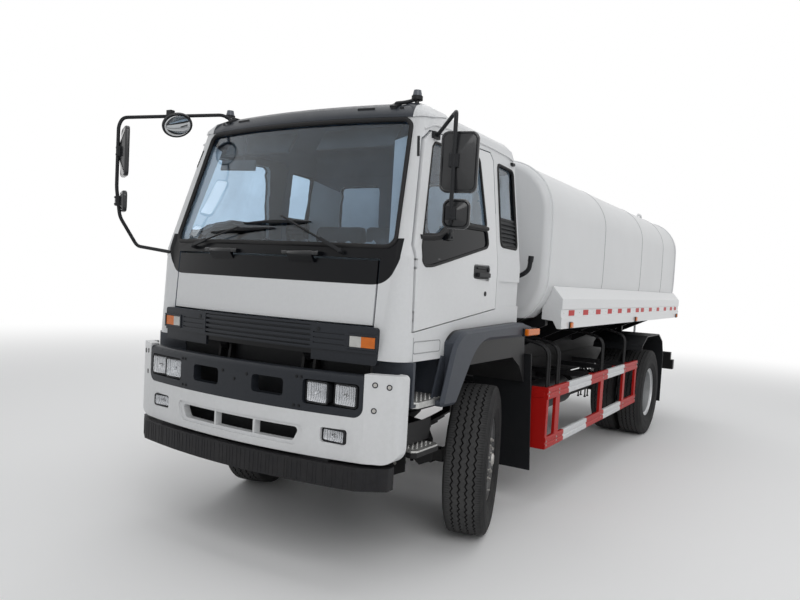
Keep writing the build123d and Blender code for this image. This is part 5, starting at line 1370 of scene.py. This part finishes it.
def makeHubs():
    for node, rim, body, axis, centers in wheelPlaces:
        center = Vector(centers[0])
        up = Vector((0, 0, 1))
        sideways = axis.cross(up)

        def onRim(out, radius):
            return hitOn(rim, center + out * radius + axis * 0.5, -axis)[0]

        steel, cap, valve = bmesh.new(), bmesh.new(), bmesh.new()
        count, radius = nutSet["nuts"]
        for i in range(count):
            angle = math.tau * (i + 0.5) / count
            place = onRim(sideways * math.cos(angle) + up * math.sin(angle), radius)
            addRod(steel, place - axis * 0.002, place + axis * 0.004, nutSet["nut"] * 1.35, segments=20)
            addRod(steel, place, place + axis * 0.022, nutSet["nut"], segments=6)
            addRod(steel, place + axis * 0.020, place + axis * 0.034, nutSet["stud"] * 0.8, segments=12)
        # ring of small studs and a domed cap on the hub
        count, radius = nutSet["hubStuds"]
        for i in range(count):
            angle = math.tau * i / count
            place = onRim(sideways * math.cos(angle) + up * math.sin(angle), radius)
            addRod(steel, place - axis * 0.002, place + axis * 0.009, 0.0085, segments=6)
        addLathe(cap, nutSet["cap"], onRim(up, 0.0), axis, segments=40)
        finishPiece(steel, f"{body}_nuts", finish["steel"], body, sharp=30)
        finishPiece(cap, f"{body}_cap", finish["steel" if "front" in node else "rimSilver"], body,
                    sharp=50)
        # valve stem on the outer rim
        out = (sideways * 0.4 - up).normalized()
        place = onRim(out, nutSet["valve"])
        elbow = place + axis * 0.045 - out * 0.01
        addRod(valve, place, elbow, 0.004, segments=10)
        addRod(valve, elbow, place + axis * 0.058 - out * 0.013, 0.0055, segments=10)
        finishPiece(valve, f"{body}_valve", finish["steel"], body, sharp=40)


makeTyres()
makeHubs()
print("wheels made")


tankSet = {"flange": 0.011, "flangeIn": 0.062, "seam": 0.003, "seams": (-2.338, -3.900, -5.100)}
skirtSet = {
    "reflectors": (-1.225, -1.621, -2.012, -2.412, -2.796, -3.176, -3.568, -3.816, -4.242, -4.680, -5.125, -5.540,
                   -5.834),
    "z": 1.563, "size": 0.046, "rivets": 0.135, "lamps": (-1.188, -3.469, -5.902), "lampZ": 1.462}


def cutLoop(node, x):
    # outline of a node where a plane across the truck meets it
    bm = mergedCopy(node)
    cut = bmesh.ops.bisect_plane(bm, geom=bm.verts[:] + bm.edges[:] + bm.faces[:],
                                 plane_co=at(x, 0, 0), plane_no=(1, 0, 0))
    bm.edges.index_update()
    path = walkLoop({g for g in cut["geom_cut"] if isinstance(g, bmesh.types.BMEdge)})
    bm.free()
    return path


def makeTankTrim():
    # raised flanges near both ends of the tank, fine seams between them
    ends = [v.co.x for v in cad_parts["tank"].data.vertices]
    front, rear = max(ends) - axleX, min(ends) - axleX
    bm = bmesh.new()
    for x in (front - tankSet["flangeIn"], rear + tankSet["flangeIn"]):
        addTube(bm, cutLoop("tank", x), tankSet["flange"], sides=3, closed=True)
    finishPiece(bm, "tank_flanges", finish["tankPaintAndShade"], "chassis", sharp=60)
    bm = bmesh.new()
    for x in tankSet["seams"]:
        addTube(bm, cutLoop("tank", x), tankSet["seam"], sides=1, closed=True)
    finishPiece(bm, "tank_seams", finish["seamGrey"], "chassis", sharp=60)


def makeSkirtTrim():
    # red reflectors, rivets and side lamps along both skirts
    tape, rivets, lampBody, lampLens = bmesh.new(), bmesh.new(), bmesh.new(), bmesh.new()
    z = skirtSet["z"]
    for side in (1, -1):
        wall = sideOn("tank_skirts", side, -2.0, z)[0].y
        for x in skirtSet["reflectors"]:
            addBox(tape, at(x, wall + side * 0.0006, z), (0.150, 0.0012, skirtSet["size"]))
        outer = sideOn("tank_skirts", side, -2.0, skirtSet["lampZ"])[0].y
        for x in skirtSet["lamps"]:
            addBox(lampBody, at(x, outer + side * 0.005, skirtSet["lampZ"]), (0.070, 0.010, 0.056))
            addBox(lampLens, at(x, outer + side * 0.014, skirtSet["lampZ"] + 0.002), (0.058, 0.012, 0.044))
        count = int(5.0 / skirtSet["rivets"])
        for i in range(count):
            x = -1.03 - 4.96 * i / (count - 1)
            if all(abs(x - r) > 0.09 for r in skirtSet["reflectors"]):
                addRod(rivets, at(x, wall, z), at(x, wall + side * 0.002, z), 0.005, segments=10, endRadius=0.003)
    finishPiece(tape, "skirt_reflectors", finish["red"], "chassis")
    finishPiece(rivets, "skirt_rivets", finish["steel"], "chassis", sharp=60)
    finishPiece(lampBody, "skirt_lamp_bases", finish["blackPlastic"], "chassis", bevel=0.003)
    finishPiece(lampLens, "skirt_lamps", finish["amber"], "chassis", bevel=0.004, segments=3)


walkSet = {"rows": 150, "front": -1.15, "length": 4.47, "across": 5, "y": 0.325, "step": 0.042}


def makeWalkway():
    # raised pips on the two walkway strips, in staggered rows
    bm = bmesh.new()
    rows, step = walkSet["rows"], walkSet["step"]
    for side in (1, -1):
        for i in range(rows):
            x = walkSet["front"] - walkSet["length"] * i / (rows - 1)
            for n in range(walkSet["across"]):
                y = side * (walkSet["y"] + step * n + (step / 2 if i % 2 else 0.0))
                place = hitOn("tank_top", at(x, y, 3.2), (0, 0, -1))[0]
                turn = Matrix.Rotation(math.radians(45 if (i + n) % 2 else -45), 4, "Z")
                addBox(bm, place + Vector((0, 0, 0.0008)), (0.020, 0.005, 0.0032), turn)
    finishPiece(bm, "walkway_pips", finish["galvanised"], "chassis", recalc=False)


makeTankTrim()
makeSkirtTrim()
makeWalkway()
print("tank pieces made")


guardSet = {
    "hangerX": (-0.905, -1.145, -2.460, -3.330), "hangerTop": 1.285, "y": 1.165, "rod": 0.011,
    "boltX": (-0.872, -1.115, -2.430, -3.300, -3.835), "boltZ": (0.900, 0.930, 0.500, 0.530)}


def makeGuardBits():
    # paired black rods rise from each post and bend in under the deck
    rods = bmesh.new()
    outline = ((guardSet["y"], 0.60), (guardSet["y"], guardSet["hangerTop"]), (0.90, 1.345), (0.46, 1.345))
    for side in (1, -1):
        for x in guardSet["hangerX"]:
            for dx in (-0.022, 0.022):
                addTube(rods, [at(x + dx, side * y, z) for y, z in outline], guardSet["rod"], bend=0.09, sides=2)
    finishPiece(rods, "guard_hangers", finish["chassis"], "chassis", sharp=50)
    bolts = bmesh.new()
    for side in (1, -1):
        for x in guardSet["boltX"]:
            for z in guardSet["boltZ"]:
                place, normal = sideOn("side_guards", side, x, z)
                addBolt(bolts, place, normal, 0.006, 0.004)
    finishPiece(bolts, "guard_bolts", finish["steel"], "chassis", sharp=30)


stepSet = {
    # treads: x from and to, y from and to, z
    "treads": {"upper": (0.672, 1.022, 0.845, 1.085, 1.062), "lower": (0.712, 1.003, 0.890, 1.083, 0.776)},
    "cut": 0.026, "pipX": 0.026, "pipY": 0.030,
    "plateX": (0.700, 1.012),
    "plate": ((0.72, 0.93), (0.98, 0.90), (1.03, 0.80), (1.03, 0.66), (0.94, 0.62), (0.72, 0.78)),  # y, z
    "bolts": ((0.96, 0.86), (0.96, 0.70), (0.80, 0.86)),
    "outer": ((0, 0.93), (1, 0.93), (1, 0.80), (0, 0.80))}                                          # which plate, z


def makeTread(name, side, x0, x1, y0, y1, z):
    # alloy plate with two cut corners, a deeper rim under it and staggered rows of pips
    bm = bmesh.new()
    cut, stepX, stepY = stepSet["cut"], stepSet["pipX"], stepSet["pipY"]
    outline = [at(x1, side * y0, z), at(x1, side * (y1 - cut), z), at(x1 - cut, side * y1, z),
               at(x0 + cut, side * y1, z), at(x0, side * (y1 - cut), z), at(x0, side * y0, z)]
    addPrism(bm, outline if side > 0 else outline[::-1], (0, 0, 0.006))
    middle = at((x0 + x1) / 2, side * (y0 + y1) / 2, z)
    addPrism(bm, [p + Vector((0, 0, -0.030)) + (p - middle) * 0.006 for p in outline], (0, 0, 0.033))
    for i in range(int((x1 - x0 - 0.04) / stepX)):
        for j in range(int((y1 - y0 - 0.03) / stepY)):
            x = x0 + stepX + i * stepX
            y = side * (y0 + 0.020 + j * stepY + (0.013 if i % 2 else 0))
            addRod(bm, at(x, y, z + 0.005), at(x, y, z + 0.010), 0.0085, segments=8, endRadius=0.0060)
    finishPiece(bm, name, finish["alloy"], "chassis", sharp=30, bevel=0.0015, segments=1)


def makeSteps():
    # upper tread in the step well and lower tread, with the side plates and bolts that carry it
    for side, word in bothSides:
        for name, place in stepSet["treads"].items():
            makeTread(f"{name}_tread_{word}", side, *place)
        plate, bolts = bmesh.new(), bmesh.new()
        for x in stepSet["plateX"]:
            addPrism(plate, [at(x, side * y, z) for y, z in stepSet["plate"]], (0.006, 0, 0))
            for y, z in stepSet["bolts"]:
                addBolt(bolts, at(x + 0.006, side * y, z), (1, 0, 0), 0.007)
        addPrism(plate, [at(stepSet["plateX"][end], side * 1.0, z) for end, z in stepSet["outer"]],
                 (0, side * 0.005, 0))
        finishPiece(plate, f"step_plates_{word}", finish["chassis"], "chassis", bevel=0.003)
        finishPiece(bolts, f"step_bolts_{word}", finish["steel"], "chassis", sharp=30)


axleSet = {
    "clamps": ((0.0, 0.60, 0.40), (-4.460, 0.74, 0.36)),                # x, top, bottom
    "y": 0.395, "halfLong": 0.055, "halfWide": 0.044,
    "chamber": ((0.0, -0.09), (0.05, -0.09), (0.072, -0.07), (0.075, -0.01), (0.082, -0.006), (0.082, 0.006),
                (0.075, 0.01), (0.070, 0.05), (0.04, 0.075), (0.0, 0.08)),
    "hose": ((-4.24, 0.50, 0.72), (-4.10, 0.46, 0.82), (-4.00, 0.36, 0.86))}


def makeAxleBits():
    # spring clamps, brake chambers and hoses
    bolts, chambers, hoses = bmesh.new(), bmesh.new(), bmesh.new()
    for x, top, low in axleSet["clamps"]:
        for side in (1, -1):
            y, wide = side * axleSet["y"], axleSet["halfWide"]
            for dx in (-axleSet["halfLong"], axleSet["halfLong"]):
                for dy in (-wide, wide):
                    addRod(bolts, at(x + dx, y + dy, low), at(x + dx, y + dy, top), 0.009, segments=12)
                    addRod(bolts, at(x + dx, y + dy, low), at(x + dx, y + dy, low + 0.016), 0.016, segments=6)
                addRod(bolts, at(x + dx, y - wide, top), at(x + dx, y + wide, top), 0.009, segments=12)
    for side in (1, -1):
        addLathe(chambers, axleSet["chamber"], at(-4.29, side * 0.50, 0.66), (1, 0, 0.2), segments=32)
        addTube(hoses, [at(x, side * y, z) for x, y, z in axleSet["hose"]], 0.008, bend=0.06, sides=2)
    finishPiece(bolts, "spring_clamps", finish["chassis"], "chassis", sharp=40)
    finishPiece(chambers, "brake_chambers", finish["chassis"], "chassis", sharp=40)
    finishPiece(hoses, "brake_hoses", finish["rubber"], "chassis", sharp=60)


makeGuardBits()
makeSteps()
makeAxleBits()
print("chassis pieces made")


mirrorSet = {
    # side: node, body, turn in degrees, heads as (x, y, z, width, height), pole points, pole radius
    "left": ("mirror_left", "door_left", 17,
             ((1.090, 1.310, 2.405, 0.205, 0.325), (1.090, 1.310, 2.130, 0.150, 0.160)),
             ((0.785, 0.985, 2.630), (0.990, 1.205, 2.695), (1.165, 1.312, 2.655), (1.165, 1.312, 2.090),
              (1.020, 1.245, 2.040), (0.650, 1.030, 2.040)), 0.0115),
    "right": ("mirror_right", "cab", -28,
              ((1.210, -1.310, 2.560, 0.205, 0.350), (1.210, -1.310, 2.210, 0.150, 0.150)),
              ((0.735, -0.720, 2.820), (0.800, -0.800, 2.880), (1.240, -1.330, 2.800), (1.262, -1.345, 2.740),
               (1.262, -1.345, 2.300), (1.240, -1.330, 2.100), (1.120, -1.290, 1.900), (1.085, -0.960, 1.866)),
              0.0125)}


def makeHead(shell, glass, head, turn):
    # rounded housing: glass to the rear, a raised rim and four facets that meet in the middle of the back
    x, y, z, width, height = head
    ahead = Vector((math.cos(math.radians(turn)), math.sin(math.radians(turn)), 0))
    across = Vector((-ahead.y, ahead.x, 0))
    middle = at(x, y, z)

    def ring(inset, radius, depth, wide=None, tall=None):
        points = roundedRect(0, 0, wide or width - 2 * inset, tall or height - 2 * inset, radius, 8)
        return [middle + across * a + Vector((0, 0, b)) + ahead * depth for a, b in points]

    addBowl(shell, [
        ring(0.012, 0.030, 0.006), ring(0.010, 0.032, 0.0), ring(0.003, 0.038, 0.001), ring(0.0, 0.040, 0.006),
        ring(0.0, 0.040, 0.022), ring(0.003, 0.038, 0.029), ring(0.009, 0.034, 0.032), ring(0.013, 0.031, 0.030),
        ring(0.016, 0.029, 0.027), ring(0.0, 0.008, 0.052, width * 0.13, height * 0.30),
        ring(0.0, 0.004, 0.053, width * 0.06, height * 0.22)])
    pane = addBowl(glass, [ring(0.011, 0.031, 0.0065), ring(0.011, 0.031, 0.0035)])
    glass.faces.new(pane[0])


def makeMirrors():
    for word, (node, body, turn, heads, pole, radius) in mirrorSet.items():
        shell, glass = bmesh.new(), bmesh.new()
        for head in heads:
            makeHead(shell, glass, head, turn)
        finishPiece(shell, f"mirror_heads_{word}", finish["mirrorBlack"], body, sharp=24)
        finishPiece(glass, f"mirror_glass_{word}", finish["mirror"], body)
        bm = bmesh.new()
        addTube(bm, [at(*p) for p in pole], radius, bend=0.035, sides=4)
        # clamp with two grips across the pole, behind each head's middle
        front = pole[3] if word == "left" else pole[4]
        ahead = Vector((math.cos(math.radians(turn)), math.sin(math.radians(turn)), 0))
        face = Matrix((ahead, Vector((-ahead.y, ahead.x, 0)), Vector((0, 0, 1)))).transposed().to_4x4()
        for head in heads:
            place = at(front[0], front[1], head[2]) - ahead * 0.008
            addBox(bm, place, (0.030, 0.052, 0.070), face)
            for lift in (-0.024, 0.024):
                spot = place + Vector((0, 0, lift))
                addRod(bm, spot + ahead * 0.012, spot + ahead * 0.022, 0.006, segments=6)
        finishPiece(bm, f"mirror_pole_{word}", finish["blackPlastic"], body, sharp=35,
                    replaces=(node,))


def makeClamps():
    # clamps and feet where the tubes meet the door and the cab
    bm = bmesh.new()
    for x, z, node in ((0.785, 2.630, "door_left"), (0.650, 2.040, "door_glass_left")):
        place, normal = sideOn(node, 1, x, z)
        addBox(bm, place + normal * 0.010, (0.070, 0.022, 0.040))
        for dx in (0.020, -0.020):
            addRod(bm, place + Vector((dx, 0.018, 0)), place + Vector((dx, 0.026, 0)), 0.008, segments=6)
    finishPiece(bm, "mirror_clamps_left", finish["blackPlastic"], "door_left", bevel=0.0015)
    bm = bmesh.new()
    addBox(bm, at(0.745, -0.735, 2.850), (0.070, 0.080, 0.030), Matrix.Rotation(math.radians(-12), 4, "X"))
    finishPiece(bm, "mirror_clamp_right", finish["blackPlastic"], "cab", bevel=0.006)


ovalSet = {
    "middle": (1.010, -1.050, 2.800), "facing": (0.2, 0.58, -0.65), "back": (0.103, 0.103, 0.048),
    "glass": (0.094, 0.094, 0.012),
    "rim": ((0.085, 0.004), (0.103, 0.004), (0.106, 0.0), (0.106, -0.010), (0.100, -0.012), (0.085, -0.004))}


def roofTop(x, y):
    # highest surface of the roof at a place
    spots = []
    for node in ("roof_visor", "cab_shell"):
        try:
            spots.append(hitOn(node, at(x, y, 3.3), (0, 0, -1)))
        except ValueError:
            continue
    return max(spots, key=lambda spot: spot[0].z)


def addOval(bm, middle, turn, size):
    # ball drawn out to three half sizes
    matrix = Matrix.Translation(middle) @ turn @ Matrix.Diagonal((*size, 1.0))
    bmesh.ops.create_uvsphere(bm, u_segments=40, v_segments=20, radius=1.0, matrix=matrix)


def makeOvalMirror():
    # kerb mirror on the right-hand pole: domed back, glass looking down and inwards
    bm, pane = bmesh.new(), bmesh.new()
    face = Vector(ovalSet["facing"]).normalized()
    middle = at(*ovalSet["middle"]) + face * 0.040
    axis = -face
    turn = aimZ(axis)
    addOval(bm, middle, turn, ovalSet["back"])
    bmesh.ops.bisect_plane(bm, geom=bm.verts[:] + bm.edges[:] + bm.faces[:],
                           plane_co=middle, plane_no=face, clear_outer=True)
    addLathe(bm, ovalSet["rim"], middle, face, segments=48, closed=True)
    finishPiece(bm, "oval_mirror_back", finish["mirrorBlack"], "cab", sharp=40)
    addOval(pane, middle, turn, ovalSet["glass"])
    finishPiece(pane, "oval_mirror_glass", finish["mirror"], "cab")
    arm = bmesh.new()
    addTube(arm, [middle + axis * 0.035, middle + axis * 0.075, at(1.035, -1.085, 2.868)], 0.009, bend=0.02, sides=3)
    addBox(arm, at(1.035, -1.083, 2.862), (0.034, 0.050, 0.034))
    finishPiece(arm, "oval_mirror_arm", finish["blackPlastic"], "cab", sharp=35)


def makeRoofArms():
    # bent arms from the dark roof strip to the marker lamps
    bm = bmesh.new()
    for side in (1, -1):
        foot, normal = roofTop(0.815, side * 0.700)
        addTube(bm, [foot - normal * 0.010, foot + normal * 0.018, at(0.775, side * 0.745, foot.z + 0.030),
                     at(0.730, side * 0.832, 2.878)], 0.011, bend=0.03, sides=3)
        addRod(bm, at(0.735, side * 0.800, 2.866), at(0.735, side * 0.800, 2.890), 0.035, segments=32)
        addBox(bm, foot + normal * 0.006, (0.060, 0.050, 0.014), aimZ(normal))
    finishPiece(bm, "roof_lamp_arms", finish["blackPlastic"], "cab", sharp=40)


slotSet = {"z": 2.795, "slots": ((0.52, 0.12), (0.70, 0.028), (0.755, 0.028))}     # y, length


def makeVisorDetails():
    # moulded slots at the ends of the dark roof strip
    bm = bmesh.new()
    for side in (1, -1):
        for y, length in slotSet["slots"]:
            place, normal = frontOn("roof_visor", side * y, slotSet["z"])
            turn = Matrix.Rotation(math.atan2(normal.y, normal.x), 4, "Z")
            addBox(bm, place + normal * 0.0004, (0.003, length, 0.024), turn)
    finishPiece(bm, "visor_slots", finish["blackPlastic"], "cab", bevel=0.0010)


makeMirrors()
makeOvalMirror()
makeClamps()
makeRoofArms()
makeVisorDetails()
print("mirrors and roof pieces made")
